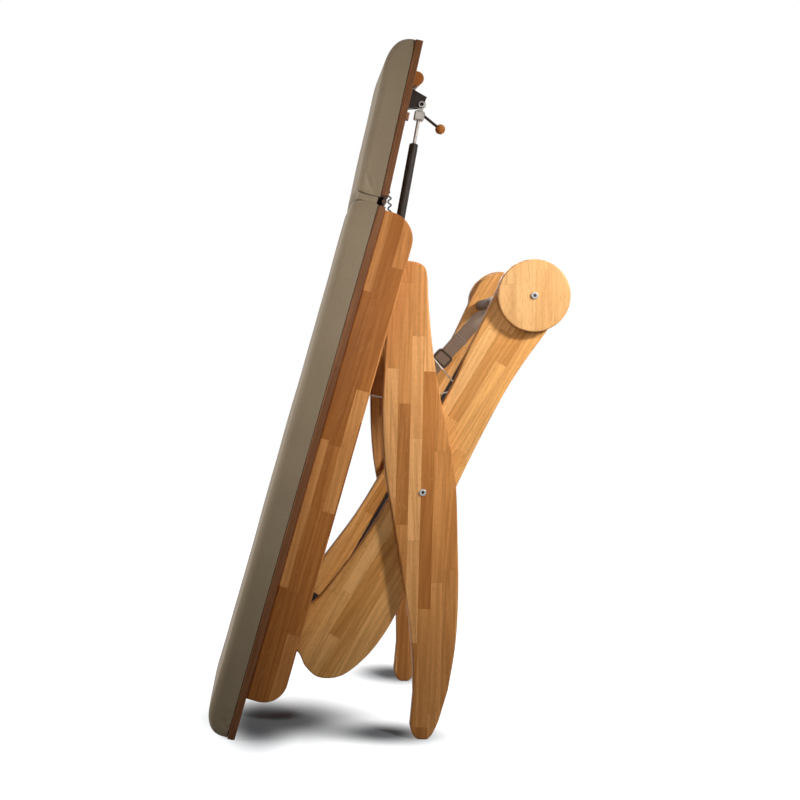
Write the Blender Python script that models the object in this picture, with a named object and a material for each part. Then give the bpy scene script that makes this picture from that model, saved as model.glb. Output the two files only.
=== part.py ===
"""Folding therapy lounger of glue-laminated oak, stood up on its foot end.

A long padded panel with a hinged, gas-sprung head panel stands on two crossed pairs of wooden legs.
The inner legs turn on an axle in the side rails and carry two wooden wheels.
The outer legs turn on the inner legs and lock with a cross dowel in a notched rack.

Each part of the lounger is drawn in its own plane: x away from the padding, y across, z towards the head.
"""
import math

import bmesh
import bpy
from mathutils import Matrix, Vector

# Driving dimensions, in metres and degrees

PANEL_LEAN = math.radians(14.35)
PANEL_WIDTH = 0.640
BOARD_THICKNESS = 0.020
MAIN_BOARD_LENGTH = 1.492
FLOOR_FLAT_DEPTH = 0.002
SEAT_GAP = 0.0003

CUSHION_HEIGHT = 0.066
CUSHION_CROWN = 0.009
CUSHION_CORNER = 0.024
CUSHION_SIDE_PULL = 0.004
CUSHION_LONG_PULL = 0.004
CUSHION_OVERHANG = 0.003
FOOT_END_HEIGHT = 0.028
FOOT_END_ROUND = 0.075
CREASE_END_HEIGHT = 0.044
CREASE_END_ROUND = 0.014

RAIL_INSET = 0.008
RAIL_THICKNESS = 0.028
RAIL_DEPTH = 0.097
RAIL_START = 0.115
RAIL_END_SETBACK = 0.005
RAIL_FOOT_ROUND = 0.066
RAIL_HEAD_ROUND = 0.076

CROSS_MEMBER_DEPTH = 0.038
CROSS_MEMBER_WIDTH = 0.050
FOOT_MEMBER_PLACE = 0.190
MIDDLE_MEMBER_PLACE = 0.378686 * MAIN_BOARD_LENGTH
HEAD_MEMBER_SETBACK = 0.047

LEG_GAP = 0.004
OUTER_LEG_THICKNESS = 0.032
INNER_LEG_THICKNESS = 0.032
EDGE_ROUND = 0.003

LEG_AXLE_PLACE = 0.215818 * MAIN_BOARD_LENGTH
LEG_AXLE_DEPTH = 0.070
LEG_AXLE_RADIUS = 0.008
LEG_AXLE_SEAT = 0.0168
INNER_LEG_ANGLE = math.radians(18.23)
CROSS_PIVOT_ALONG = 0.345174 * MAIN_BOARD_LENGTH
CROSS_PIVOT_ASIDE = 0.070375 * MAIN_BOARD_LENGTH
WHEEL_AXLE_ALONG = 0.758043 * MAIN_BOARD_LENGTH
WHEEL_AXLE_ASIDE = 0.038204 * MAIN_BOARD_LENGTH
LEG_END_RADIUS = 0.062332 * MAIN_BOARD_LENGTH

PIVOT_BOLT_RADIUS = 0.006
PIVOT_BOLT_HEAD_RADIUS = 0.0095
PIVOT_BOLT_HEAD_HEIGHT = 0.004
BORE_CLEARANCE = 0.0004

NOTCH_DOWEL_RADIUS = 0.012
NOTCH_DOWEL_ASIDE = -0.058981 * MAIN_BOARD_LENGTH
NOTCH_DOWEL_ALONG = 0.385054 * MAIN_BOARD_LENGTH
DOWEL_SOCKET_DEPTH = 0.014
NOTCH_DEPTH = 0.0016
NOTCH_PITCH = 0.042
NOTCH_COUNT = 3
RACK_THICKNESS = 0.026
RACK_LEG_CLEARANCE = 0.062
RACK_END_MARGIN = 0.030

WHEEL_RADIUS = 0.0995
WHEEL_THICKNESS = 0.033
WHEEL_SIDE_GAP = 0.0015
WHEEL_BUSH_RADIUS = 0.009
WHEEL_BOLT_RADIUS = 0.006
WHEEL_BOLT_HEAD_RADIUS = 0.0095
WHEEL_BOLT_HEAD_HEIGHT = 0.004
SOCKET_RADIUS = 0.004
SOCKET_DEPTH = 0.0025

CROSSBAR_ALONG = 0.727212 * MAIN_BOARD_LENGTH
CROSSBAR_ASIDE = 0.005362 * MAIN_BOARD_LENGTH
CROSSBAR_RADIUS = 0.017
CROSSBAR_SOCKET_DEPTH = 0.012

BRACE_BAR_WIDTH = 0.040
BRACE_BAR_THICKNESS = 0.005
BRACE_BAR_HEEL_ALONG = 0.050268 * MAIN_BOARD_LENGTH
BRACE_BAR_HEEL_ASIDE = 0.093834 * MAIN_BOARD_LENGTH
PIVOT_PLATE_THICKNESS = 0.005
PIVOT_PLATE_TOP = 0.037
PIVOT_PLATE_HEEL = 0.118
PIVOT_PLATE_RADIUS = 0.036

HINGE_SETBACK = 0.015
HINGE_DEPTH = 0.0125
HINGE_BARREL_RADIUS = 0.0065
HINGE_PIN_RADIUS = 0.003
HINGE_LEAF_THICKNESS = 0.0025
HINGE_KNUCKLES = 5
HINGE_KNUCKLE_GAP = 0.001
HINGE_END_INSET = 0.004
HEAD_RAISE = math.radians(3.2)
HEAD_BOARD_START = 0.0155
HEAD_BOARD_LENGTH = 0.430
HEAD_CUSHION_START = 0.010
HEAD_CUSHION_LENGTH = 0.436
HEAD_END_HEIGHT = 0.017
HEAD_END_ROUND = 0.088

GAS_FOOT_DEPTH = 0.0905
GAS_CYLINDER_RADIUS = 0.0135
GAS_CYLINDER_START = 0.0215
GAS_CYLINDER_ROUND = 0.004
GAS_CYLINDER_FLOOR = 0.024
GAS_CYLINDER_END = 0.2985
GAS_GLAND_LENGTH = 0.018
GAS_GLAND_TIP_RADIUS = 0.0112
GAS_ROD_RADIUS = 0.005
GAS_ROD_INSIDE = 0.030
GAS_EYE_RADIUS = 0.011
GAS_EYE_THICKNESS = 0.012
GAS_PIN_RADIUS = 0.004
BRACKET_THICKNESS = 0.003
BRACKET_SIDE_GAP = 0.001
BRACKET_BASE_LENGTH = 0.044

HEAD_BOLT_ALONG = 0.3491
HEAD_BOLT_DEPTH = 0.0579
HEAD_BOLT_RADIUS = 0.004
HEAD_BOLT_HEAD_RADIUS = 0.0095
HEAD_BOLT_HEAD_HEIGHT = 0.005
HEAD_BRACKET_FOOT = 0.325
HEAD_BRACKET_TOP = 0.393
HEAD_BRACKET_CORNER_ALONG = 0.374
HEAD_BRACKET_CORNER_DEPTH = 0.069
BRACKET_EAR_WALL = 0.006
HEAD_EYE_PLAY = 0.0060
HEAD_EYE_WALL = 0.0045
HEAD_EYE_THICKNESS = 0.014
HEAD_NECK_HALF = 0.008

RELEASE_HEAD_DEPTH = 0.030
RELEASE_HEAD_WIDTH = 0.024
RELEASE_HEAD_START = 0.3690
RELEASE_HEAD_END = 0.3968
ROD_SEAT_DEPTH = 0.006
LEVER_PIVOT_ASIDE = 0.0105
LEVER_PIVOT_ALONG = 0.3875
LEVER_ROOF = 0.0025
LEVER_PIN_RADIUS = 0.0025
LEVER_ROD_RADIUS = 0.0042
LEVER_REACH = 0.0588
LEVER_DROP = math.radians(28.7)
LEVER_EYE_RADIUS = 0.0065
LEVER_EYE_WIDTH = 0.011
LEVER_SHANK_START = 0.0036
BALL_RADIUS = 0.0150
BALL_SEAT_DEPTH = 0.007

STOP_DOWEL_RADIUS = 0.0217
STOP_DOWEL_LENGTH = 0.076
STOP_DOWEL_PLACE = 0.4150
STOP_DOWEL_FLAT = 0.004
BUMP_BLOCK_GAP = 0.007
BUMP_BLOCK_LENGTH = 0.022
BUMP_BLOCK_DEPTH = 0.022
BUMP_BLOCK_WIDTH = 0.026

STRAP_WIDTH = 0.040
STRAP_THICKNESS = 0.0025
STRAP_TWIST_LENGTH = 0.090
BUCKLE_ALONG_STRAP = 0.185
BUCKLE_LENGTH = 0.034
BUCKLE_MARGIN = 0.005
BUCKLE_THICKNESS = 0.0035
STRAP_ROD_RADIUS = 0.007
STRAP_ROD_ASIDE = -0.040214 * MAIN_BOARD_LENGTH
STRAP_ROD_ALONG = 0.136394 * MAIN_BOARD_LENGTH

LINE_RADIUS = 0.0019
LINE_EYE_RADIUS = 0.008
LINE_EYE_HOLE = 0.004
LINE_EYE_THICKNESS = 0.004
LINE_EYE_STEM = 0.016
LINE_LEG_CLEARANCE = 0.022
TAUT_LINE_PLACE = 0.871314 * MAIN_BOARD_LENGTH
SLACK_LINE_PLACE = 0.670241 * MAIN_BOARD_LENGTH
LINE_POST_ALONG = 0.542225 * MAIN_BOARD_LENGTH
LINE_POST_ASIDE = 0.025469 * MAIN_BOARD_LENGTH
LINE_POST_RADIUS = 0.004
LINE_POST_FLANGE = 0.007
SLACK_LINE_SAG = 0.035

CURL_WIRE_RADIUS = 0.0014
CURL_RADIUS = 0.0046
CURL_COUNT = 5
CURL_POINTS = 9
CURL_SPREAD = -0.055
CURL_HEAD_PLACE = 0.0815
CURL_CLIP_LENGTH = 0.016
CURL_CLIP_DEPTH = 0.010
CURL_CLIP_WIDTH = 0.012
CURL_FRAME_DEPTH = 0.044
CURL_LEAD = 0.003

ROUND_SIDES = 24
SMALL_SIDES = 16

# Places worked out from the driving dimensions

underside = BOARD_THICKNESS + SEAT_GAP
rail_outer_face = PANEL_WIDTH / 2 - RAIL_INSET
rail_inner_face = rail_outer_face - RAIL_THICKNESS
outer_leg_face = rail_inner_face - LEG_GAP
outer_leg_middle = outer_leg_face - OUTER_LEG_THICKNESS / 2
outer_leg_inner_face = outer_leg_face - OUTER_LEG_THICKNESS
inner_leg_face = outer_leg_inner_face - LEG_GAP
inner_leg_middle = inner_leg_face - INNER_LEG_THICKNESS / 2
inner_leg_inner_face = inner_leg_face - INNER_LEG_THICKNESS
line_spread = LINE_LEG_CLEARANCE - inner_leg_inner_face
rack_spread = inner_leg_inner_face - RACK_LEG_CLEARANCE
hinge_place = MAIN_BOARD_LENGTH + HINGE_SETBACK
gas_foot_place = MAIN_BOARD_LENGTH - HEAD_MEMBER_SETBACK
bump_block_place = HEAD_BRACKET_FOOT - BUMP_BLOCK_GAP - BUMP_BLOCK_LENGTH
member_places = {
    "foot_cross_member": FOOT_MEMBER_PLACE,
    "middle_cross_member": MIDDLE_MEMBER_PLACE,
    "head_cross_member": gas_foot_place,
}
SIDES = {"left": -1, "right": 1}


def clear_scene():
    for existing in list(bpy.data.objects):
        bpy.data.objects.remove(existing, do_unlink=True)


def material(name, colour, roughness, metallic=0.0):
    finish = bpy.data.materials.new(name)
    finish.use_nodes = True
    shader = finish.node_tree.nodes["Principled BSDF"]
    shader.inputs["Base Color"].default_value = (*colour, 1.0)
    shader.inputs["Roughness"].default_value = roughness
    shader.inputs["Metallic"].default_value = metallic
    return finish


clear_scene()

OAK = material("oiled_oak", (0.56, 0.31, 0.12), 0.45)
BOARD_OAK = material("board_oak", (0.26, 0.12, 0.06), 0.50)
PADDING = material("taupe_leatherette", (0.25, 0.21, 0.14), 0.55)
BLACK_STEEL = material("black_steel", (0.02, 0.02, 0.02), 0.45, 0.6)
BRIGHT_STEEL = material("bright_steel", (0.60, 0.60, 0.60), 0.28, 1.0)
GREY_METAL = material("cast_grey_metal", (0.45, 0.42, 0.38), 0.40, 0.8)
WEBBING = material("grey_webbing", (0.27, 0.22, 0.18), 0.85)
CORD_GREY = material("pale_cord", (0.55, 0.52, 0.48), 0.70)
CORD_BLACK = material("black_cord", (0.02, 0.02, 0.02), 0.60)
BUSH_BRASS = material("bush_brass", (0.60, 0.45, 0.18), 0.35, 1.0)


def empty(name, parent=None, place=(0.0, 0.0, 0.0), turn=0.0):
    frame = bpy.data.objects.new(name, None)
    bpy.context.collection.objects.link(frame)
    frame.parent = parent
    frame.location = place
    frame.rotation_euler = (0.0, turn, 0.0)
    return frame


def finish_mesh(name, shape, parent, finish, smooth_angle=35.0):
    bmesh.ops.recalc_face_normals(shape, faces=shape.faces)
    mesh = bpy.data.meshes.new(name)
    shape.to_mesh(mesh)
    shape.free()
    mesh.shade_smooth()
    mesh.set_sharp_from_angle(angle=math.radians(smooth_angle))
    piece = bpy.data.objects.new(name, mesh)
    bpy.context.collection.objects.link(piece)
    piece.parent = parent
    if finish is None:
        piece.hide_render = True
        piece.display_type = "WIRE"
    else:
        mesh.materials.append(finish)
    return piece


def add_plate(shape, outline, low, high):
    """Closed plate: an outline in the x, z plane carried from y = low to y = high."""
    near = [shape.verts.new((x, low, z)) for x, z in outline]
    far = [shape.verts.new((x, high, z)) for x, z in outline]
    shape.faces.new(near)
    shape.faces.new(far)
    for index in range(len(outline)):
        following = (index + 1) % len(outline)
        shape.faces.new((near[index], near[following], far[following], far[index]))


def plate(name, outline, low, high, parent, finish, edge_round=0.0):
    shape = bmesh.new()
    add_plate(shape, outline, low, high)
    piece = finish_mesh(name, shape, parent, finish)
    if edge_round > 0.0:
        rounding = piece.modifiers.new("edge_round", "BEVEL")
        rounding.width = edge_round
        rounding.segments = 1
        rounding.limit_method = "ANGLE"
        rounding.angle_limit = math.radians(60.0)
    return piece


def add_turned(shape, profile, axis_frame, sides):
    """Closed turned solid: (radius, height) pairs spun about the z axis of axis_frame."""
    rings = []
    for radius, height in profile:
        ring = []
        for step in range(sides):
            angle = 2.0 * math.pi * (step + 0.5) / sides
            point = Vector((radius * math.cos(angle), radius * math.sin(angle), height))
            ring.append(shape.verts.new(axis_frame @ point))
        rings.append(ring)
    for lower, upper in zip(rings, rings[1:]):
        for step in range(sides):
            following = (step + 1) % sides
            shape.faces.new((lower[step], lower[following], upper[following], upper[step]))
    shape.faces.new(rings[0])
    shape.faces.new(rings[-1])


def along_y(x=0.0, y=0.0, z=0.0):
    """Frame whose z axis runs along +y."""
    return Matrix.Translation((x, y, z)) @ Matrix.Rotation(-math.pi / 2, 4, "X")


def along_z(x=0.0, y=0.0, z=0.0, tilt=0.0):
    return Matrix.Translation((x, y, z)) @ Matrix.Rotation(tilt, 4, "Y")


def turned(name, profile, axis_frame, parent, finish, sides=ROUND_SIDES):
    shape = bmesh.new()
    add_turned(shape, profile, axis_frame, sides)
    return finish_mesh(name, shape, parent, finish)


def rod(name, radius, low, high, x, z, parent, finish, sides=ROUND_SIDES):
    return turned(name, [(radius, low), (radius, high)], along_y(x, 0.0, z), parent, finish, sides)


def box_outline(x_low, x_high, z_low, z_high):
    return [(x_low, z_low), (x_high, z_low), (x_high, z_high), (x_low, z_high)]


def combine(piece, tool, operation):
    step = piece.modifiers.new(operation.lower(), "BOOLEAN")
    step.operation = operation
    step.solver = "EXACT"
    step.object = tool


def drill(piece, radius, low, high, x, z, parent, sides=ROUND_SIDES):
    cutter = rod(piece.name + "_bore_cutter", radius, low, high, x, z, parent, None, sides)
    combine(piece, cutter, "DIFFERENCE")


def arc(centre, radius, start, end, steps):
    points = []
    for step in range(steps + 1):
        angle = math.radians(start + (end - start) * step / steps)
        points.append((centre[0] + radius * math.cos(angle), centre[1] + radius * math.sin(angle)))
    return points


def smooth_points(points, steps, closed=False):
    """Catmull-Rom curve through the points, with some steps from each point to the next."""
    count = len(points)
    spans = count if closed else count - 1
    curve = []
    for index in range(spans):
        if closed:
            group = [points[(index + shift) % count] for shift in (-1, 0, 1, 2)]
        else:
            group = [points[min(max(index + shift, 0), count - 1)] for shift in (-1, 0, 1, 2)]
        before, here, there, after = [Vector(point) for point in group]
        for step in range(steps):
            part = step / steps
            curve.append(
                0.5 * (2.0 * here + (there - before) * part
                       + (2.0 * before - 5.0 * here + 4.0 * there - after) * part ** 2
                       + (3.0 * here - before - 3.0 * there + after) * part ** 3)
            )
    if not closed:
        curve.append(Vector(points[-1]))
    return [tuple(point) for point in curve]


def tube(name, points, radius, parent, finish, resolution=2):
    path = bpy.data.curves.new(name, "CURVE")
    path.dimensions = "3D"
    path.bevel_depth = radius
    path.bevel_resolution = resolution
    path.use_fill_caps = True
    spline = path.splines.new("POLY")
    spline.points.add(len(points) - 1)
    for place, point in zip(spline.points, points):
        place.co = (*point, 1.0)
    path.materials.append(finish)
    piece = bpy.data.objects.new(name, path)
    bpy.context.collection.objects.link(piece)
    piece.parent = parent
    return piece


# Frames: the lounger stands on the floor, leans, and its moving parts hang on their axes

stand = empty("stand")
panel_height = BOARD_THICKNESS * math.sin(PANEL_LEAN) - FLOOR_FLAT_DEPTH
panel = empty("panel", stand, (0.0, 0.0, panel_height), PANEL_LEAN)
head = empty("head", panel, (HINGE_DEPTH, 0.0, hinge_place), -HEAD_RAISE)
inner = empty("inner_legs", panel, (LEG_AXLE_DEPTH, 0.0, LEG_AXLE_PLACE), INNER_LEG_ANGLE)
outer = empty("outer_legs", inner, (CROSS_PIVOT_ASIDE, 0.0, CROSS_PIVOT_ALONG), -PANEL_LEAN - INNER_LEG_ANGLE)
wheels = empty("wheels", inner, (WHEEL_AXLE_ASIDE, 0.0, WHEEL_AXLE_ALONG))
bpy.context.view_layer.update()


def seen_from(target, source, point):
    """A point of one frame in the coordinates of another."""
    return target.matrix_world.inverted() @ source.matrix_world @ Vector(point)


head_bolt = seen_from(panel, head, (HEAD_BOLT_DEPTH, 0.0, HEAD_BOLT_ALONG))
gas_foot = Vector((GAS_FOOT_DEPTH, 0.0, gas_foot_place))
gas_line = head_bolt - gas_foot
gas_turn = math.atan2(gas_line.x, gas_line.z)
gas_reach = gas_line.length
gas = empty("gas_spring", panel, gas_foot, gas_turn)
lever = empty("release_lever_axis", gas, (LEVER_PIVOT_ASIDE, 0.0, LEVER_PIVOT_ALONG))
bpy.context.view_layer.update()

notch = seen_from(panel, outer, (NOTCH_DOWEL_ASIDE, 0.0, NOTCH_DOWEL_ALONG))
pivot_height = outer.matrix_world.translation.z


def make_cushion(name, parent, base, start, length, lower_end, upper_end, finish):
    """Padded block on a board: crowned top, drawn-in sides, ends rounded over in side view.

    Each end is (height of its flat face, length of its rounding).
    """
    half_width = PANEL_WIDTH / 2
    stations = []
    end_steps = 5
    for step in range(end_steps):
        part = step / end_steps * math.pi / 2
        stations.append((lower_end[1] * (1.0 - math.cos(part)), math.sin(part), lower_end[0]))
    middle_steps = 8
    middle = length - lower_end[1] - upper_end[1]
    for step in range(middle_steps + 1):
        stations.append((lower_end[1] + middle * step / middle_steps, 1.0, lower_end[0]))
    for step in range(1, end_steps + 1):
        part = step / end_steps * math.pi / 2
        stations.append((length - upper_end[1] * (1.0 - math.sin(part)), math.cos(part), upper_end[0]))
    shape = bmesh.new()
    rings = []
    for along, fullness, end_height in stations:
        height = end_height + (CUSHION_HEIGHT - end_height) * fullness
        corner = min(CUSHION_CORNER, 0.8 * height)
        crown = CUSHION_CROWN * fullness
        pull = CUSHION_LONG_PULL * math.sin(math.pi * along / length)
        width = half_width - CUSHION_CORNER * 0.5 * (1.0 - fullness) - pull
        side = [(width, 0.0)]
        for part in (0.33, 0.67):
            drawn = CUSHION_SIDE_PULL * fullness * math.sin(math.pi * part)
            side.append((width - drawn, (height - corner) * part))
        side += arc((width - corner, height - corner), corner, 0.0, 90.0, 4)
        top = []
        flat = width - corner
        for part in (0.6, 0.2):
            top.append((flat * part, height + crown * (1.0 - part ** 2)))
        half = side + top
        outline = half + [(-across, up) for across, up in reversed(half)]
        rings.append([shape.verts.new((base - up, across, start + along)) for across, up in outline])
    for lower, upper in zip(rings, rings[1:]):
        for index in range(len(lower)):
            following = (index + 1) % len(lower)
            shape.faces.new((lower[index], lower[following], upper[following], upper[index]))
    shape.faces.new(rings[0])
    shape.faces.new(rings[-1])
    return finish_mesh(name, shape, parent, finish, 60.0)


def make_panel():
    half = PANEL_WIDTH / 2
    flat_back = FLOOR_FLAT_DEPTH / math.sin(PANEL_LEAN)
    flat_up = FLOOR_FLAT_DEPTH / math.cos(PANEL_LEAN)
    board_outline = [
        (0.0, 0.0),
        (BOARD_THICKNESS - flat_back, 0.0),
        (BOARD_THICKNESS, flat_up),
        (BOARD_THICKNESS, MAIN_BOARD_LENGTH),
        (0.0, MAIN_BOARD_LENGTH),
    ]
    plate("main_board", board_outline, -half, half, panel, BOARD_OAK)
    make_cushion("main_cushion", panel, -SEAT_GAP, 0.0, MAIN_BOARD_LENGTH + CUSHION_OVERHANG,
                 (FOOT_END_HEIGHT, FOOT_END_ROUND), (CREASE_END_HEIGHT, CREASE_END_ROUND), PADDING)


def make_rails():
    back = underside
    front = underside + RAIL_DEPTH
    end = MAIN_BOARD_LENGTH - RAIL_END_SETBACK
    outline = [(back, end), (back, RAIL_START)]
    outline += arc((front - RAIL_FOOT_ROUND, RAIL_START + RAIL_FOOT_ROUND), RAIL_FOOT_ROUND, -90.0, 0.0, 8)
    outline += arc((front - RAIL_HEAD_ROUND, end - RAIL_HEAD_ROUND), RAIL_HEAD_ROUND, 0.0, 90.0, 8)
    for side, sign in SIDES.items():
        low, high = sorted((sign * rail_inner_face, sign * rail_outer_face))
        rail = plate("side_rail_" + side, outline, low, high, panel, OAK, EDGE_ROUND)
        bottom = rail_inner_face + LEG_AXLE_SEAT + SEAT_GAP
        blind = sorted((sign * (rail_inner_face - LEG_GAP), sign * bottom))
        drill(rail, LEG_AXLE_RADIUS + BORE_CLEARANCE, *blind, LEG_AXLE_DEPTH, LEG_AXLE_PLACE, panel)


def make_cross_members():
    reach = rail_inner_face - SEAT_GAP
    for name, place in member_places.items():
        outline = box_outline(underside, underside + CROSS_MEMBER_DEPTH,
                              place - CROSS_MEMBER_WIDTH / 2, place + CROSS_MEMBER_WIDTH / 2)
        plate(name, outline, -reach, reach, panel, OAK)


def make_racks():
    seat_radius = NOTCH_DOWEL_RADIUS + BORE_CLEARANCE
    edge = notch.x - seat_radius + NOTCH_DEPTH
    half_mouth = math.degrees(math.acos((seat_radius - NOTCH_DEPTH) / seat_radius))
    last = notch.z - NOTCH_PITCH * (NOTCH_COUNT - 1)
    outline = [(edge, notch.z + RACK_END_MARGIN), (underside, notch.z + RACK_END_MARGIN)]
    outline += [(underside, last - RACK_END_MARGIN), (edge, last - RACK_END_MARGIN)]
    for index in reversed(range(NOTCH_COUNT)):
        centre = (notch.x, notch.z - NOTCH_PITCH * index)
        outline += arc(centre, seat_radius, 180.0 + half_mouth, 180.0 - half_mouth, 6)
    for side, sign in SIDES.items():
        low = sign * rack_spread - RACK_THICKNESS / 2
        plate("notch_rack_" + side, outline, low, low + RACK_THICKNESS, panel, OAK)


def make_leg_axle():
    reach = rail_inner_face + LEG_AXLE_SEAT
    rod("leg_axle", LEG_AXLE_RADIUS, -reach, reach, LEG_AXLE_DEPTH, LEG_AXLE_PLACE, panel, BRIGHT_STEEL)


def leg_sized(shares):
    """Leg outlines are drawn in shares of the main board's length."""
    return [(x * MAIN_BOARD_LENGTH, z * MAIN_BOARD_LENGTH) for x, z in shares]


def inner_leg_outline():
    """Ear round the axle, broad heel, slender waist and a round end behind the wheel."""
    wheel = (WHEEL_AXLE_ASIDE, WHEEL_AXLE_ALONG)
    back_edge = [
        (0.02279, 0.06702), (0.03016, 0.14477), (0.03284, 0.22118), (0.02815, 0.31501),
        (0.01877, 0.42895), (0.00938, 0.53619), (-0.00268, 0.60657), (-0.01005, 0.66019),
    ]
    heel_edge = [
        (0.09517, 0.64343), (0.09786, 0.56971), (0.10992, 0.46247), (0.12735, 0.34182),
        (0.14477, 0.22788), (0.15885, 0.13740), (0.16287, 0.08378), (0.15818, 0.03016),
        (0.14008, -0.02212), (0.10724, -0.04759), (0.07507, -0.04491), (0.04826, -0.03083),
    ]
    ear = [
        (0.00335, -0.03083), (-0.02145, -0.02212), (-0.03083, 0.00201), (-0.02078, 0.02413),
        (0.00335, 0.04021),
    ]
    end = arc(wheel, LEG_END_RADIUS, 195.0, -15.0, 6)
    return smooth_points(leg_sized(back_edge) + end + leg_sized(heel_edge + ear), 3, closed=True)


def make_inner_legs():
    outline = inner_leg_outline()
    for side, sign in SIDES.items():
        low, high = sorted((sign * inner_leg_inner_face, sign * inner_leg_face))
        leg = plate("inner_leg_" + side, outline, low, high, inner, OAK, EDGE_ROUND)
        drill(leg, LEG_AXLE_RADIUS + BORE_CLEARANCE, low - LEG_GAP, high + LEG_GAP, 0.0, 0.0, inner)
        drill(leg, PIVOT_BOLT_RADIUS + BORE_CLEARANCE, low - LEG_GAP, high + LEG_GAP,
              CROSS_PIVOT_ASIDE, CROSS_PIVOT_ALONG, inner)
        drill(leg, WHEEL_BOLT_RADIUS + SEAT_GAP, low - LEG_GAP, high + LEG_GAP,
              WHEEL_AXLE_ASIDE, WHEEL_AXLE_ALONG, inner)
        socket = sorted((sign * (inner_leg_inner_face - LEG_GAP),
                         sign * (inner_leg_inner_face + CROSSBAR_SOCKET_DEPTH + SEAT_GAP)))
        drill(leg, CROSSBAR_RADIUS + SEAT_GAP, *socket, CROSSBAR_ASIDE, CROSSBAR_ALONG, inner)
    reach = inner_leg_inner_face + CROSSBAR_SOCKET_DEPTH
    rod("leg_crossbar", CROSSBAR_RADIUS, -reach, reach, CROSSBAR_ASIDE, CROSSBAR_ALONG, inner, GREY_METAL)


def make_brace_bars():
    """Flat steel from the wheel bolt to the heel, and a plate round the axle, inside each inner leg."""
    start = Vector((BRACE_BAR_HEEL_ASIDE, BRACE_BAR_HEEL_ALONG))
    end = Vector((WHEEL_AXLE_ASIDE, WHEEL_AXLE_ALONG))
    direction = math.degrees(math.atan2(end.y - start.y, end.x - start.x))
    half = BRACE_BAR_WIDTH / 2
    bar_outline = arc(end, half, direction - 90.0, direction + 90.0, 8)
    bar_outline += arc(start, half, direction + 90.0, direction + 270.0, 8)
    plate_outline = arc((0.0, 0.0), PIVOT_PLATE_RADIUS, 90.0, 270.0, 8)
    plate_outline += [(PIVOT_PLATE_HEEL, -PIVOT_PLATE_RADIUS), (PIVOT_PLATE_HEEL, PIVOT_PLATE_TOP)]
    for side, sign in SIDES.items():
        seat = inner_leg_inner_face - SEAT_GAP
        low, high = sorted((sign * (seat - BRACE_BAR_THICKNESS), sign * seat))
        bar = plate("brace_bar_" + side, bar_outline, low, high, inner, BLACK_STEEL)
        drill(bar, WHEEL_BOLT_RADIUS + SEAT_GAP, low - LEG_GAP, high + LEG_GAP,
              WHEEL_AXLE_ASIDE, WHEEL_AXLE_ALONG, inner)
        drill(bar, PIVOT_BOLT_RADIUS + BORE_CLEARANCE, low - LEG_GAP, high + LEG_GAP,
              CROSS_PIVOT_ASIDE, CROSS_PIVOT_ALONG, inner)
        low, high = sorted((sign * (seat - PIVOT_PLATE_THICKNESS), sign * seat))
        ear = plate("pivot_plate_" + side, plate_outline, low, high, inner, BLACK_STEEL)
        drill(ear, LEG_AXLE_RADIUS + BORE_CLEARANCE, low - LEG_GAP, high + LEG_GAP, 0.0, 0.0, inner)


def make_wheels():
    inside = inner_leg_face + WHEEL_SIDE_GAP
    outside = inside + WHEEL_THICKNESS
    bush_bore = WHEEL_BOLT_RADIUS + BORE_CLEARANCE
    for side, sign in SIDES.items():
        low, high = sorted((sign * inside, sign * outside))
        face = EDGE_ROUND
        profile = [(WHEEL_RADIUS - face, low), (WHEEL_RADIUS, low + face),
                   (WHEEL_RADIUS, high - face), (WHEEL_RADIUS - face, high)]
        disc = turned("wheel_" + side, profile, along_y(), wheels, OAK, 48)
        drill(disc, WHEEL_BUSH_RADIUS + SEAT_GAP, low - LEG_GAP, high + LEG_GAP, 0.0, 0.0, wheels)
        bush = rod("wheel_bush_" + side, WHEEL_BUSH_RADIUS, low, high, 0.0, 0.0, wheels, BUSH_BRASS)
        drill(bush, bush_bore, low - LEG_GAP, high + LEG_GAP, 0.0, 0.0, wheels)
        shank_end = inner_leg_inner_face - BRACE_BAR_THICKNESS - SEAT_GAP
        head_seat = outside + WHEEL_SIDE_GAP
        profile = [(WHEEL_BOLT_RADIUS, sign * shank_end), (WHEEL_BOLT_RADIUS, sign * head_seat),
                   (WHEEL_BOLT_HEAD_RADIUS, sign * head_seat),
                   (WHEEL_BOLT_HEAD_RADIUS, sign * (head_seat + WHEEL_BOLT_HEAD_HEIGHT))]
        bolt = turned("wheel_bolt_" + side, profile, along_y(WHEEL_AXLE_ASIDE, 0.0, WHEEL_AXLE_ALONG),
                      inner, BRIGHT_STEEL)
        top = head_seat + WHEEL_BOLT_HEAD_HEIGHT
        socket = sorted((sign * (top - SOCKET_DEPTH), sign * (top + LEG_GAP)))
        drill(bolt, SOCKET_RADIUS, *socket, WHEEL_AXLE_ASIDE, WHEEL_AXLE_ALONG, inner, 6)


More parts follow.
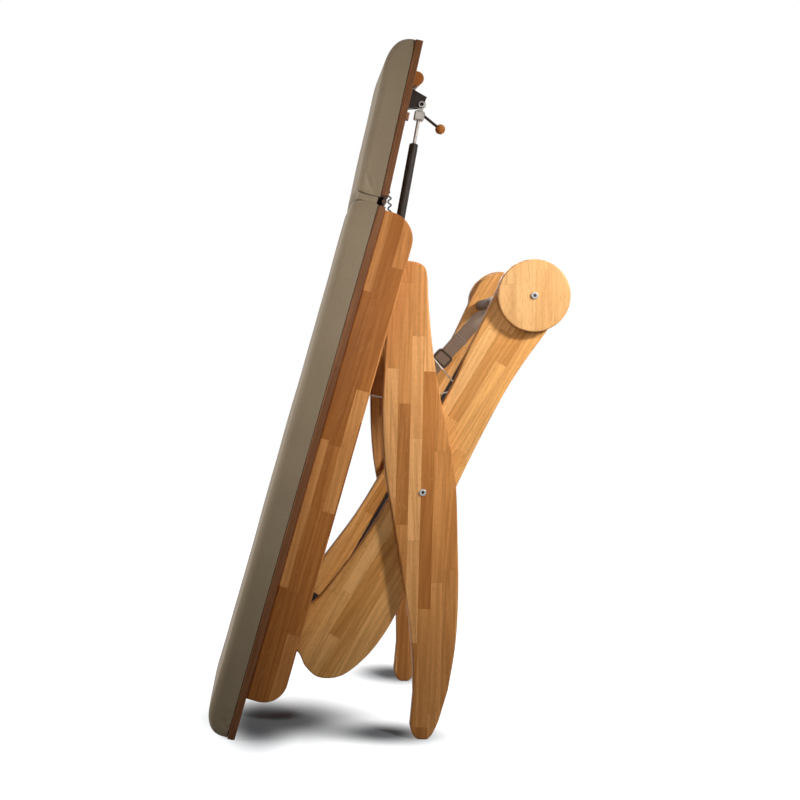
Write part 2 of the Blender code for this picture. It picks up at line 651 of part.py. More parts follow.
def outer_leg_outline():
    """Leaf-shaped plank: broad below the pivot, narrow at its top, with a small level foot."""
    floor = -pivot_height
    front_edge = [
        (-0.01206, 0.41689), (-0.00201, 0.39879), (0.00201, 0.34853), (0.01206, 0.26139),
        (0.02882, 0.17091), (0.04625, 0.10054), (0.06032, 0.02011), (0.06635, -0.08043),
        (0.07038, -0.17761), (0.06769, -0.27480), (0.05563, -0.36193),
    ]
    foot_edge = [
        (0.04021, 0.03485), (0.03150, 0.01475), (0.02413, 0.00402), (0.01743, 0.00000),
        (0.00402, 0.00000), (-0.00268, 0.00369), (-0.00838, 0.01206), (-0.01206, 0.02413),
    ]
    back_edge = [
        (-0.00804, -0.36863), (-0.01273, -0.28150), (-0.03150, -0.16086), (-0.05228, -0.05362),
        (-0.06971, 0.04021), (-0.07708, 0.14745), (-0.07507, 0.24129), (-0.07373, 0.32172),
        (-0.07775, 0.38539), (-0.06501, 0.41287), (-0.03887, 0.42225),
    ]
    foot = [(x, floor + rise) for x, rise in leg_sized(foot_edge)]
    above = smooth_points(leg_sized(back_edge + front_edge), 3)
    return above + foot


def make_outer_legs():
    outline = outer_leg_outline()
    for side, sign in SIDES.items():
        low, high = sorted((sign * outer_leg_inner_face, sign * outer_leg_face))
        leg = plate("outer_leg_" + side, outline, low, high, outer, OAK, EDGE_ROUND)
        drill(leg, PIVOT_BOLT_RADIUS + SEAT_GAP, low - LEG_GAP, high + LEG_GAP, 0.0, 0.0, outer)
        socket = sorted((sign * (outer_leg_inner_face - LEG_GAP),
                         sign * (outer_leg_inner_face + DOWEL_SOCKET_DEPTH + SEAT_GAP)))
        drill(leg, NOTCH_DOWEL_RADIUS + SEAT_GAP, *socket, NOTCH_DOWEL_ASIDE, NOTCH_DOWEL_ALONG, outer)
        drill(leg, STRAP_ROD_RADIUS + SEAT_GAP, *socket, STRAP_ROD_ASIDE, STRAP_ROD_ALONG, outer)
        shank_end = inner_leg_inner_face - BRACE_BAR_THICKNESS - SEAT_GAP
        head_seat = outer_leg_face + SEAT_GAP
        top = head_seat + PIVOT_BOLT_HEAD_HEIGHT - SEAT_GAP * 2
        profile = [(PIVOT_BOLT_RADIUS, sign * shank_end), (PIVOT_BOLT_RADIUS, sign * head_seat),
                   (PIVOT_BOLT_HEAD_RADIUS, sign * head_seat), (PIVOT_BOLT_HEAD_RADIUS, sign * top)]
        bolt = turned("pivot_bolt_" + side, profile, along_y(), outer, BRIGHT_STEEL)
        socket = sorted((sign * (top - SOCKET_DEPTH), sign * (top + LEG_GAP)))
        drill(bolt, SOCKET_RADIUS, *socket, 0.0, 0.0, outer, 6)
    reach = outer_leg_inner_face + DOWEL_SOCKET_DEPTH
    rod("notch_dowel", NOTCH_DOWEL_RADIUS, -reach, reach, NOTCH_DOWEL_ASIDE, NOTCH_DOWEL_ALONG, outer, OAK)
    rod("strap_rod", STRAP_ROD_RADIUS, -reach, reach, STRAP_ROD_ASIDE, STRAP_ROD_ALONG, outer, BLACK_STEEL)


def make_hinge():
    """Barrel hinge across the whole width, its leaves on the end faces of the two boards."""
    half = PANEL_WIDTH / 2 - HINGE_END_INSET
    pitch = 2.0 * half / HINGE_KNUCKLES
    main_seat = MAIN_BOARD_LENGTH - hinge_place + SEAT_GAP
    head_seat = HEAD_BOARD_START - SEAT_GAP
    main_frame = empty("hinge_axis", panel, (HINGE_DEPTH, 0.0, hinge_place))
    top = -HINGE_DEPTH + SEAT_GAP
    bottom = BOARD_THICKNESS - HINGE_DEPTH - SEAT_GAP
    web = HINGE_LEAF_THICKNESS / 2
    leaves = {
        "head_hinge_main_leaf": (main_frame, (0, 2, 4), main_seat, main_seat + HINGE_LEAF_THICKNESS),
        "head_hinge_head_leaf": (head, (1, 3), head_seat - HINGE_LEAF_THICKNESS, head_seat),
    }
    for name, (frame, knuckles, leaf_low, leaf_high) in leaves.items():
        leaf = plate(name, box_outline(top, bottom, leaf_low, leaf_high), -half, half, frame, BLACK_STEEL)
        towards = math.copysign(1.0, leaf_low)
        root = leaf_low + HINGE_LEAF_THICKNESS / 2
        for index in knuckles:
            low = -half + pitch * index + HINGE_KNUCKLE_GAP / 2
            high = low + pitch - HINGE_KNUCKLE_GAP
            barrel = rod(name + "_knuckle", HINGE_BARREL_RADIUS, low, high, 0.0, 0.0,
                         frame, None, SMALL_SIDES)
            web_low, web_high = sorted((root, towards * HINGE_PIN_RADIUS * 1.5))
            arm = plate(name + "_web", box_outline(-web, web, web_low, web_high), low, high, frame, None)
            combine(leaf, arm, "UNION")
            combine(leaf, barrel, "UNION")
        drill(leaf, HINGE_PIN_RADIUS + BORE_CLEARANCE, -half - LEG_GAP, half + LEG_GAP,
              0.0, 0.0, frame, SMALL_SIDES)
    rod("head_hinge_pin", HINGE_PIN_RADIUS, -half, half, 0.0, 0.0, main_frame, BRIGHT_STEEL, SMALL_SIDES)


head_underside = BOARD_THICKNESS - HINGE_DEPTH + SEAT_GAP


def make_head_panel():
    half = PANEL_WIDTH / 2
    outline = box_outline(-HINGE_DEPTH, BOARD_THICKNESS - HINGE_DEPTH,
                          HEAD_BOARD_START, HEAD_BOARD_START + HEAD_BOARD_LENGTH)
    plate("head_board", outline, -half, half, head, BOARD_OAK)
    make_cushion("head_cushion", head, -HINGE_DEPTH - SEAT_GAP, HEAD_CUSHION_START, HEAD_CUSHION_LENGTH,
                 (CREASE_END_HEIGHT, CREASE_END_ROUND), (HEAD_END_HEIGHT, HEAD_END_ROUND), PADDING)
    centre = head_underside + STOP_DOWEL_RADIUS - STOP_DOWEL_FLAT
    reach = STOP_DOWEL_LENGTH / 2
    face = EDGE_ROUND
    profile = [(STOP_DOWEL_RADIUS - face, -reach), (STOP_DOWEL_RADIUS, -reach + face),
               (STOP_DOWEL_RADIUS, reach - face), (STOP_DOWEL_RADIUS - face, reach)]
    dowel = turned("head_stop_dowel", profile, along_y(centre, 0.0, STOP_DOWEL_PLACE), head, OAK)
    flat = box_outline(head_underside - STOP_DOWEL_RADIUS, head_underside,
                       STOP_DOWEL_PLACE - STOP_DOWEL_RADIUS, STOP_DOWEL_PLACE + STOP_DOWEL_RADIUS)
    cutter = plate("stop_dowel_flat_cutter", flat, -reach - LEG_GAP, reach + LEG_GAP, head, None)
    combine(dowel, cutter, "DIFFERENCE")
    outline = box_outline(head_underside, head_underside + BUMP_BLOCK_DEPTH,
                          bump_block_place, bump_block_place + BUMP_BLOCK_LENGTH)
    plate("head_bump_block", outline, -BUMP_BLOCK_WIDTH / 2, BUMP_BLOCK_WIDTH / 2, head, OAK, EDGE_ROUND)


def make_bracket(name, parent, base, cheek_outline, base_low, base_high, inside, finish):
    """Bent sheet bracket: a base against the board and two upright cheeks."""
    outside = inside + BRACKET_THICKNESS
    bracket = plate(name, box_outline(base, base + BRACKET_THICKNESS, base_low, base_high),
                    -outside, outside, parent, finish)
    for sign in (-1, 1):
        low, high = sorted((sign * inside, sign * outside))
        cheek = plate(name + "_cheek", cheek_outline, low, high, parent, None)
        combine(bracket, cheek, "UNION")
    return bracket


def make_gas_spring():
    foot_base = underside + CROSS_MEMBER_DEPTH + SEAT_GAP
    inside = GAS_EYE_THICKNESS / 2 + BRACKET_SIDE_GAP
    half_base = BRACKET_BASE_LENGTH / 2
    ear_radius = GAS_EYE_RADIUS
    cheek = [(foot_base, gas_foot_place - half_base), (GAS_FOOT_DEPTH, gas_foot_place - ear_radius)]
    cheek += arc((GAS_FOOT_DEPTH, gas_foot_place), ear_radius, -60.0, 60.0, 6)
    cheek += [(GAS_FOOT_DEPTH, gas_foot_place + ear_radius), (foot_base, gas_foot_place + half_base)]
    foot = make_bracket("gas_spring_foot_bracket", panel, foot_base, cheek,
                        gas_foot_place - half_base, gas_foot_place + half_base, inside, BLACK_STEEL)
    width = inside + BRACKET_THICKNESS
    drill(foot, GAS_PIN_RADIUS + SEAT_GAP, -width - LEG_GAP, width + LEG_GAP,
          GAS_FOOT_DEPTH, gas_foot_place, panel)
    rod("gas_spring_foot_pin", GAS_PIN_RADIUS, -width, width,
        GAS_FOOT_DEPTH, gas_foot_place, panel, BRIGHT_STEEL)

    gland_start = GAS_CYLINDER_END - GAS_GLAND_LENGTH
    bore = GAS_ROD_RADIUS + BORE_CLEARANCE
    rod_start = gland_start - GAS_ROD_INSIDE
    profile = [(GAS_CYLINDER_RADIUS - GAS_CYLINDER_ROUND, GAS_CYLINDER_START),
               (GAS_CYLINDER_RADIUS, GAS_CYLINDER_START + GAS_CYLINDER_ROUND),
               (GAS_CYLINDER_RADIUS, gland_start - SEAT_GAP)]
    cylinder = turned("gas_spring_cylinder", profile, along_z(), gas, BLACK_STEEL)
    half_eye = GAS_EYE_THICKNESS / 2
    eye = rod("cylinder_eye", GAS_EYE_RADIUS, -half_eye, half_eye, 0.0, 0.0, gas, None)
    neck_end = GAS_CYLINDER_START + GAS_CYLINDER_ROUND
    neck = turned("cylinder_neck", [(GAS_ROD_RADIUS, GAS_PIN_RADIUS), (GAS_ROD_RADIUS, neck_end)],
                  along_z(), gas, None, SMALL_SIDES)
    combine(cylinder, neck, "UNION")
    combine(cylinder, eye, "UNION")
    drill(cylinder, GAS_PIN_RADIUS + BORE_CLEARANCE, -width, width, 0.0, 0.0, gas)
    well_floor = GAS_CYLINDER_START + GAS_CYLINDER_FLOOR
    well = turned("cylinder_well_cutter", [(bore, well_floor), (bore, GAS_CYLINDER_END)],
                  along_z(), gas, None, SMALL_SIDES)
    combine(cylinder, well, "DIFFERENCE")
    profile = [(GAS_CYLINDER_RADIUS, gland_start),
               (GAS_CYLINDER_RADIUS, GAS_CYLINDER_END - GAS_CYLINDER_ROUND),
               (GAS_GLAND_TIP_RADIUS, GAS_CYLINDER_END)]
    gland = turned("gas_spring_gland", profile, along_z(), gas, BLACK_STEEL)
    passage = turned("gland_bore_cutter", [(bore, gland_start - LEG_GAP), (bore, GAS_CYLINDER_END + LEG_GAP)],
                     along_z(), gas, None, SMALL_SIDES)
    combine(gland, passage, "DIFFERENCE")
    rod_end = RELEASE_HEAD_START + ROD_SEAT_DEPTH
    turned("gas_spring_rod", [(GAS_ROD_RADIUS, rod_start), (GAS_ROD_RADIUS, rod_end)],
           along_z(), gas, BRIGHT_STEEL, SMALL_SIDES)


def make_release_head():
    half = RELEASE_HEAD_DEPTH / 2
    width = RELEASE_HEAD_WIDTH / 2
    body = plate("release_head", box_outline(-half, half, RELEASE_HEAD_START, RELEASE_HEAD_END),
                 -width, width, gas, GREY_METAL, EDGE_ROUND)
    eye_bore = HEAD_BOLT_RADIUS + HEAD_EYE_PLAY
    eye_radius = eye_bore + HEAD_EYE_WALL
    tongue = HEAD_EYE_THICKNESS / 2
    ring = rod("release_head_eye", eye_radius, -tongue, tongue, 0.0, gas_reach, gas, None)
    neck_outline = box_outline(-HEAD_NECK_HALF, HEAD_NECK_HALF, RELEASE_HEAD_END - ROD_SEAT_DEPTH, gas_reach)
    neck = plate("release_head_neck", neck_outline, -tongue, tongue, gas, None)
    combine(body, neck, "UNION")
    combine(body, ring, "UNION")
    drill(body, eye_bore, -width - LEG_GAP, width + LEG_GAP, 0.0, gas_reach, gas)
    seat_radius = GAS_ROD_RADIUS + SEAT_GAP
    seat_end = RELEASE_HEAD_START + ROD_SEAT_DEPTH + SEAT_GAP
    seat = turned("rod_seat_cutter", [(seat_radius, RELEASE_HEAD_START - LEG_GAP), (seat_radius, seat_end)],
                  along_z(), gas, None, SMALL_SIDES)
    combine(body, seat, "DIFFERENCE")
    slot_half = LEVER_EYE_WIDTH / 2 + BRACKET_SIDE_GAP
    slot_back = LEVER_PIVOT_ASIDE - LEVER_EYE_RADIUS - BRACKET_SIDE_GAP
    slot_outline = box_outline(slot_back, half + LEG_GAP,
                               RELEASE_HEAD_START - LEG_GAP, RELEASE_HEAD_END - LEVER_ROOF)
    slot = plate("lever_slot_cutter", slot_outline, -slot_half, slot_half, gas, None)
    combine(body, slot, "DIFFERENCE")
    drill(body, LEVER_PIN_RADIUS + SEAT_GAP, -width - LEG_GAP, width + LEG_GAP,
          LEVER_PIVOT_ASIDE, LEVER_PIVOT_ALONG, gas, SMALL_SIDES)
    rod("lever_pin", LEVER_PIN_RADIUS, -width, width, LEVER_PIVOT_ASIDE, LEVER_PIVOT_ALONG,
        gas, BRIGHT_STEEL, SMALL_SIDES)


def make_lever():
    """Round lever on its pin, with a wooden ball pushed onto the free end."""
    body = rod("release_lever", LEVER_EYE_RADIUS, -LEVER_EYE_WIDTH / 2, LEVER_EYE_WIDTH / 2,
               0.0, 0.0, lever, BLACK_STEEL)
    tilt = math.pi / 2 + LEVER_DROP
    shank = turned("lever_shank", [(LEVER_ROD_RADIUS, LEVER_SHANK_START), (LEVER_ROD_RADIUS, LEVER_REACH)],
                   along_z(tilt=tilt), lever, None, SMALL_SIDES)
    combine(body, shank, "UNION")
    drill(body, LEVER_PIN_RADIUS + BORE_CLEARANCE, -LEVER_EYE_WIDTH, LEVER_EYE_WIDTH,
          0.0, 0.0, lever, SMALL_SIDES)
    centre = LEVER_REACH - BALL_SEAT_DEPTH + BALL_RADIUS
    profile = []
    for step in range(1, 10):
        angle = math.pi * step / 10
        profile.append((BALL_RADIUS * math.sin(angle), centre - BALL_RADIUS * math.cos(angle)))
    ball = turned("lever_ball", profile, along_z(tilt=tilt), lever, OAK, SMALL_SIDES)
    bore = LEVER_ROD_RADIUS + SEAT_GAP
    socket = turned("ball_bore_cutter", [(bore, centre - BALL_RADIUS * 2), (bore, LEVER_REACH + SEAT_GAP)],
                    along_z(tilt=tilt), lever, None, SMALL_SIDES)
    combine(ball, socket, "DIFFERENCE")


def make_head_bracket():
    inside = HEAD_EYE_THICKNESS / 2 + BRACKET_SIDE_GAP
    outside = inside + BRACKET_THICKNESS
    centre = (HEAD_BOLT_DEPTH, HEAD_BOLT_ALONG)
    cheek = [(head_underside, HEAD_BRACKET_TOP), (HEAD_BRACKET_CORNER_DEPTH, HEAD_BRACKET_CORNER_ALONG)]
    cheek += arc(centre, HEAD_BOLT_RADIUS + BRACKET_EAR_WALL, 40.0, -100.0, 8)
    cheek += [(head_underside, HEAD_BRACKET_FOOT)]
    bracket = make_bracket("gas_spring_head_bracket", head, head_underside, cheek,
                           HEAD_BRACKET_FOOT, HEAD_BRACKET_TOP, inside, BLACK_STEEL)
    drill(bracket, HEAD_BOLT_RADIUS + SEAT_GAP, -outside - LEG_GAP, outside + LEG_GAP, *centre, head)
    seat = outside + SEAT_GAP
    profile = [(HEAD_BOLT_HEAD_RADIUS, -seat - HEAD_BOLT_HEAD_HEIGHT), (HEAD_BOLT_HEAD_RADIUS, -seat),
               (HEAD_BOLT_RADIUS, -seat), (HEAD_BOLT_RADIUS, seat),
               (HEAD_BOLT_HEAD_RADIUS, seat), (HEAD_BOLT_HEAD_RADIUS, seat + HEAD_BOLT_HEAD_HEIGHT)]
    bolt = turned("gas_spring_head_bolt", profile, along_y(centre[0], 0.0, centre[1]), head, BRIGHT_STEEL)
    top = seat + HEAD_BOLT_HEAD_HEIGHT
    drill(bolt, SOCKET_RADIUS, -top - LEG_GAP, -top + SOCKET_DEPTH, *centre, head, 6)


def ribbon(name, points, turns, width, thickness, parent, finish):
    """Flat band along points in the x, z plane; at turn 0 its width lies across, along y."""
    direction = Vector(points[-1]) - Vector(points[0])
    direction.normalize()
    across = Vector((0.0, 1.0, 0.0))
    normal = direction.cross(across)
    shape = bmesh.new()
    rings = []
    for point, turn in zip(points, turns):
        wide = (across * math.cos(turn) + normal * math.sin(turn)) * (width / 2)
        thick = (normal * math.cos(turn) - across * math.sin(turn)) * (thickness / 2)
        corners = [wide + thick, wide - thick, -wide - thick, -wide + thick]
        rings.append([shape.verts.new(Vector(point) + corner) for corner in corners])
    for lower, upper in zip(rings, rings[1:]):
        for index in range(4):
            following = (index + 1) % 4
            shape.faces.new((lower[index], lower[following], upper[following], upper[index]))
    shape.faces.new(rings[0])
    shape.faces.new(rings[-1])
    return finish_mesh(name, shape, parent, finish)


def strap_ring(name, bar_radius, x, z, parent):
    """Sewn loop of webbing round a bar; returns its outer radius."""
    inside = bar_radius + SEAT_GAP
    outside = inside + STRAP_THICKNESS
    ring = rod(name, outside, -STRAP_WIDTH / 2, STRAP_WIDTH / 2, x, z, parent, WEBBING)
    drill(ring, inside, -STRAP_WIDTH, STRAP_WIDTH, x, z, parent)
    return outside


def make_strap():
    """Webbing from the crossbar of the inner legs to a rod between the outer legs, turned flat side out."""
    bar = Vector((CROSSBAR_ASIDE, 0.0, CROSSBAR_ALONG))
    foot = seen_from(inner, outer, (STRAP_ROD_ASIDE, 0.0, STRAP_ROD_ALONG))
    start = strap_ring("strap_loop", CROSSBAR_RADIUS, CROSSBAR_ASIDE, CROSSBAR_ALONG, inner) + SEAT_GAP
    foot_ring = strap_ring("strap_foot_loop", STRAP_ROD_RADIUS, STRAP_ROD_ASIDE, STRAP_ROD_ALONG, outer)
    stop = (foot - bar).length - foot_ring - SEAT_GAP
    direction = (foot - bar).normalized()
    points = []
    turns = []
    steps = 10
    for step in range(steps + 1):
        part = step / steps
        points.append(bar + direction * (start + STRAP_TWIST_LENGTH * part))
        turns.append(math.pi / 2 * part ** 2 * (3.0 - 2.0 * part))
    for step in range(steps + 1):
        part = 1.0 - step / steps
        points.append(bar + direction * (stop - STRAP_TWIST_LENGTH * part))
        turns.append(math.pi / 2 * part ** 2 * (3.0 - 2.0 * part))
    ribbon("strap", points, turns, STRAP_WIDTH, STRAP_THICKNESS, inner, WEBBING)

    wall = SEAT_GAP + BUCKLE_THICKNESS
    buckle_start = bar + direction * (start + BUCKLE_ALONG_STRAP)
    buckle_end = buckle_start + direction * BUCKLE_LENGTH
    flat = (math.pi / 2, math.pi / 2)
    buckle = ribbon("strap_buckle", (buckle_start, buckle_end), flat,
                    STRAP_WIDTH + 2.0 * BUCKLE_MARGIN, STRAP_THICKNESS + 2.0 * wall, inner, GREY_METAL)
    slot_ends = (buckle_start - direction * LEG_GAP, buckle_end + direction * LEG_GAP)
    slot = ribbon("buckle_slot_cutter", slot_ends, flat,
                  STRAP_WIDTH + 2.0 * SEAT_GAP, STRAP_THICKNESS + 2.0 * SEAT_GAP, inner, None)
    combine(buckle, slot, "DIFFERENCE")


def eye_lug(name, place):
    """Small plate eye standing on the underside of the main board."""
    tip = underside + LINE_EYE_STEM
    outline = [(underside, place - LINE_EYE_RADIUS)]
    outline += arc((tip, place), LINE_EYE_RADIUS, -90.0, 90.0, 8)
    outline += [(underside, place + LINE_EYE_RADIUS)]
    half = LINE_EYE_THICKNESS / 2
    lug = plate(name, outline, line_spread - half, line_spread + half, panel, BRIGHT_STEEL)
    drill(lug, LINE_EYE_HOLE, line_spread - LINE_EYE_THICKNESS, line_spread + LINE_EYE_THICKNESS,
          tip, place, panel, SMALL_SIDES)
    return Vector((tip, line_spread, place))


def make_lines():
    """Thin lines from two eyes under the board to a post on the left inner leg; one is slack."""
    leg_face = inner_leg_inner_face - SEAT_GAP
    flange = LINE_EYE_THICKNESS / 2
    tip = -line_spread - LINE_EYE_THICKNESS
    profile = [(LINE_POST_FLANGE, -leg_face), (LINE_POST_FLANGE, -leg_face + flange),
               (LINE_POST_RADIUS, -leg_face + flange), (LINE_POST_RADIUS, -tip)]
    turned("line_post", profile, along_y(LINE_POST_ASIDE, 0.0, LINE_POST_ALONG),
           inner, BRIGHT_STEEL, SMALL_SIDES)
    post = seen_from(panel, inner, (LINE_POST_ASIDE, 0.0, LINE_POST_ALONG))
    post.y = line_spread
    clear_post = LINE_POST_RADIUS + SEAT_GAP
    clear_eye = LINE_EYE_RADIUS + SEAT_GAP

    eye = eye_lug("taut_line_eye", TAUT_LINE_PLACE)
    run = (post - eye).normalized()
    start = eye + run * clear_eye
    end = post - run * clear_post
    tube("taut_line", [start.lerp(end, step / 8) for step in range(9)], LINE_RADIUS, panel, CORD_GREY)

    eye = eye_lug("slack_line_eye", SLACK_LINE_PLACE)
    down = Vector((math.sin(PANEL_LEAN), 0.0, -math.cos(PANEL_LEAN)))
    slope = (post - eye) + down * (4.0 * SLACK_LINE_SAG)
    start = eye + slope.normalized() * clear_eye
    slope = (post - eye) - down * (4.0 * SLACK_LINE_SAG)
    end = post - slope.normalized() * clear_post
    route = []
    for step in range(25):
        share = step / 24
        route.append(start.lerp(end, share) + down * (4.0 * SLACK_LINE_SAG * share * (1.0 - share)))
    tube("slack_line", route, LINE_RADIUS, panel, CORD_GREY)


def make_curly_cord():
    """Curly lead that bridges the head hinge, from a clip on the head board to one on the cross member."""
    half = CURL_CLIP_WIDTH / 2
    low = CURL_SPREAD - half
    high = CURL_SPREAD + half
    exit_depth = CURL_CLIP_DEPTH / 2
    outline = box_outline(head_underside, head_underside + CURL_CLIP_DEPTH,
                          CURL_HEAD_PLACE, CURL_HEAD_PLACE + CURL_CLIP_LENGTH)
    plate("curl_clip_head", outline, low, high, head, BLACK_STEEL)
    start = seen_from(panel, head, (head_underside + exit_depth, CURL_SPREAD, CURL_HEAD_PLACE - SEAT_GAP))
    leave = seen_from(panel, head, (head_underside + exit_depth, CURL_SPREAD, CURL_HEAD_PLACE - CURL_LEAD))
    frame_face = member_places["head_cross_member"] + CROSS_MEMBER_WIDTH / 2 + SEAT_GAP
    clip_top = frame_face + CURL_CLIP_LENGTH
    outline = box_outline(CURL_FRAME_DEPTH, CURL_FRAME_DEPTH + CURL_CLIP_DEPTH, frame_face, clip_top)
    plate("curl_clip_frame", outline, low, high, panel, BLACK_STEEL)
    end = Vector((CURL_FRAME_DEPTH + exit_depth, CURL_SPREAD, clip_top + SEAT_GAP))
    arrive = end + Vector((0.0, 0.0, CURL_LEAD))
    run = arrive - leave
    side = Vector((0.0, 1.0, 0.0))
    front = run.normalized().cross(side)
    count = CURL_COUNT * CURL_POINTS
    points = [start, leave]
    for step in range(1, count):
        share = step / count
        angle = 2.0 * math.pi * CURL_COUNT * share
        ramp = min(1.0, share * CURL_COUNT, (1.0 - share) * CURL_COUNT)
        swing = (side * math.sin(angle) + front * (1.0 - math.cos(angle))) * (CURL_RADIUS * ramp)
        points.append(leave + run * share + swing)
    points += [arrive, end]
    tube("curly_cord", points, CURL_WIRE_RADIUS, panel, CORD_BLACK, 1)
    gap = min(
        (points[first] - points[second]).length
        for first in range(len(points))
        for second in range(first + CURL_POINTS // 2 + 1, len(points))
    )
    print("curly cord: least gap to itself %.2f mm" % ((gap - 2.0 * CURL_WIRE_RADIUS) * 1000.0))


def centre_on_floor():
    """Sets the origin on the floor, in the middle of the lounger's footprint box."""
    bpy.context.view_layer.update()
    graph = bpy.context.evaluated_depsgraph_get()
    places = []
    for piece in bpy.data.objects:
        if piece.type == "EMPTY" or piece.hide_render:
            continue
        solid = piece.evaluated_get(graph)
        mesh = solid.to_mesh()
        places += [(solid.matrix_world @ vertex.co).x for vertex in mesh.vertices]
        solid.to_mesh_clear()
    stand.location.x = -(min(places) + max(places)) / 2
    print("stand moved by %.7f m" % stand.location.x)


make_panel()
make_rails()
make_cross_members()
make_racks()
make_leg_axle()
make_inner_legs()
make_brace_bars()
make_wheels()
make_outer_legs()
make_hinge()
make_head_panel()
make_head_bracket()
make_gas_spring()
make_release_head()
make_lever()
make_strap()
make_lines()
make_curly_cord()
centre_on_floor()
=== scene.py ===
import math

import bmesh
import bpy
import numpy as np
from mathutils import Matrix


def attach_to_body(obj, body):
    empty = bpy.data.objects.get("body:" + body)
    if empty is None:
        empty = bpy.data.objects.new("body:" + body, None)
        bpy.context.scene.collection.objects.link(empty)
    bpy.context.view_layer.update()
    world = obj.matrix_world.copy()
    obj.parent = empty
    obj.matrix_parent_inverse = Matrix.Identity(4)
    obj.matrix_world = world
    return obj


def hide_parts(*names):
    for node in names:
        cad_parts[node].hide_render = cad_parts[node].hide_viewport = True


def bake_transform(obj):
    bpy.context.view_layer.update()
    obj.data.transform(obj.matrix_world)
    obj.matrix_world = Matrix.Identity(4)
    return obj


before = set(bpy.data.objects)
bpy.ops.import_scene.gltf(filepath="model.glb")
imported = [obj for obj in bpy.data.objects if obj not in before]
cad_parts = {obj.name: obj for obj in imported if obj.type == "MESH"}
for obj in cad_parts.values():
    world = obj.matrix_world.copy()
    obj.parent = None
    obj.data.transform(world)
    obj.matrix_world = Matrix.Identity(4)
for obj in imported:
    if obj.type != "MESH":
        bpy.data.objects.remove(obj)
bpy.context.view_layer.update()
print("frame loaded:", len(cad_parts), "nodes")

sides = {"left": -1, "right": 1}  # sign of y
yAxis = np.array([0.0, 1.0, 0.0])


# frames: where each part of the lounger sits in the x, z plane, and how far it leans about y

def placeAt(spot, degrees):  # a frame: its spot and its lean
    return {"x": spot[0], "z": spot[1], "angle": math.radians(degrees)}


def toWorld(points, place):  # x' = x cos a + z sin a, z' = z cos a - x sin a, moved to the frame's spot
    points = np.asarray(points, float)
    cosA = math.cos(place["angle"])
    sinA = math.sin(place["angle"])
    x = place["x"] + points[..., 0] * cosA + points[..., 2] * sinA
    z = place["z"] + points[..., 2] * cosA - points[..., 0] * sinA
    return np.stack([x, points[..., 1], z], axis=-1)


def spotIn(place, aside, along):  # x and z of a point that is given in a frame
    point = toWorld((aside, 0.0, along), place)
    return (float(point[0]), float(point[2]))


stance = {"panelX": -0.4233016, "panelZ": 0.0029569, "lean": 14.35, "headRaise": 3.2, "innerTurn": 18.23}
boards = {"thickness": 0.020, "halfWidth": 0.320, "mainLength": 1.492, "headStart": 0.0155,
          "headLength": 0.430, "floorFlat": 0.002, "rounding": 0.0018, "gap": 0.0003}
hinge = {"place": 1.507, "depth": 0.0125}
pivots = {"axleDepth": 0.070, "axlePlace": 0.322, "crossAside": 0.105, "crossAlong": 0.515,
          "wheelAside": 0.057, "wheelAlong": 1.131, "footDepth": 0.0905, "footPlace": 1.445}
gap = boards["gap"]  # between pieces that only lie against each other

panelPlace = placeAt((stance["panelX"], stance["panelZ"]), stance["lean"])
headPlace = placeAt(spotIn(panelPlace, hinge["depth"], hinge["place"]), stance["lean"] - stance["headRaise"])
innerPlace = placeAt(spotIn(panelPlace, pivots["axleDepth"], pivots["axlePlace"]),
                     stance["lean"] + stance["innerTurn"])
wheelCentre = (pivots["wheelAside"], pivots["wheelAlong"])
outerPlace = placeAt(spotIn(innerPlace, pivots["crossAside"], pivots["crossAlong"]), 0.0)
wheelPlace = placeAt(spotIn(innerPlace, *wheelCentre), 0.0)


# node helpers for the finishes

def newFinish(name):
    finish = bpy.data.materials.new(name)
    finish.use_nodes = True
    return finish, finish.node_tree, finish.node_tree.nodes["Principled BSDF"]


def feed(tree, node, inputs):  # numbers and colours are set on the sockets, other nodes' outputs are linked
    for name, value in inputs.items():
        socket = node.inputs[name]
        if isinstance(value, (int, float)):
            socket.default_value = value
        elif isinstance(value, tuple):
            socket.default_value = (*value, 1.0) if socket.type == "RGBA" else value
        else:
            tree.links.new(value, socket)


def addNode(tree, kind, inputs, **settings):  # settings go first, as some of them change the sockets
    node = tree.nodes.new("ShaderNode" + kind)
    for name, value in settings.items():
        setattr(node, name, value)
    feed(tree, node, inputs)
    return node.outputs


def mathNode(tree, operation, *values):
    return addNode(tree, "Math", dict(enumerate(values)), operation=operation)[0]


def times(tree, first, second):
    return mathNode(tree, "MULTIPLY", first, second)


def timesPlus(tree, first, second, third):  # first times second, plus third
    return mathNode(tree, "MULTIPLY_ADD", first, second, third)


def noiseNode(tree, vector, scale, detail, roughness):
    inputs = {"Vector": vector, "Scale": scale, "Detail": detail, "Roughness": roughness}
    return addNode(tree, "TexNoise", inputs)[0]


def rampNode(tree, factor, stops):
    node = tree.nodes.new("ShaderNodeValToRGB")
    ramp = node.color_ramp
    while len(ramp.elements) < len(stops):
        ramp.elements.new(0.5)
    for element, (position, colour) in zip(ramp.elements, stops):
        element.position = position
        element.color = (*colour, 1.0)
    tree.links.new(factor, node.inputs[0])
    return node.outputs[0]


def mixColour(tree, factor, first, second, blend="MIX"):
    inputs = {"Factor": factor, "A": first, "B": second}
    return addNode(tree, "Mix", inputs, data_type="RGBA", blend_type=blend)["Result"]


def joinXyz(tree, *parts):
    return addNode(tree, "CombineXYZ", dict(enumerate(parts)))[0]


def splitXyz(tree, vector):
    return addNode(tree, "SeparateXYZ", {0: vector})


def bumpNode(tree, height, strength, distance, before=None):
    inputs = {"Height": height, "Strength": strength, "Distance": distance}
    if before is not None:
        inputs["Normal"] = before
    return addNode(tree, "Bump", inputs)[0]


def grainParts(tree):  # coordinates written into each piece's mesh: along it, across it, and up or into it
    return splitXyz(tree, addNode(tree, "Attribute", {}, attribute_name="grain")["Vector"])


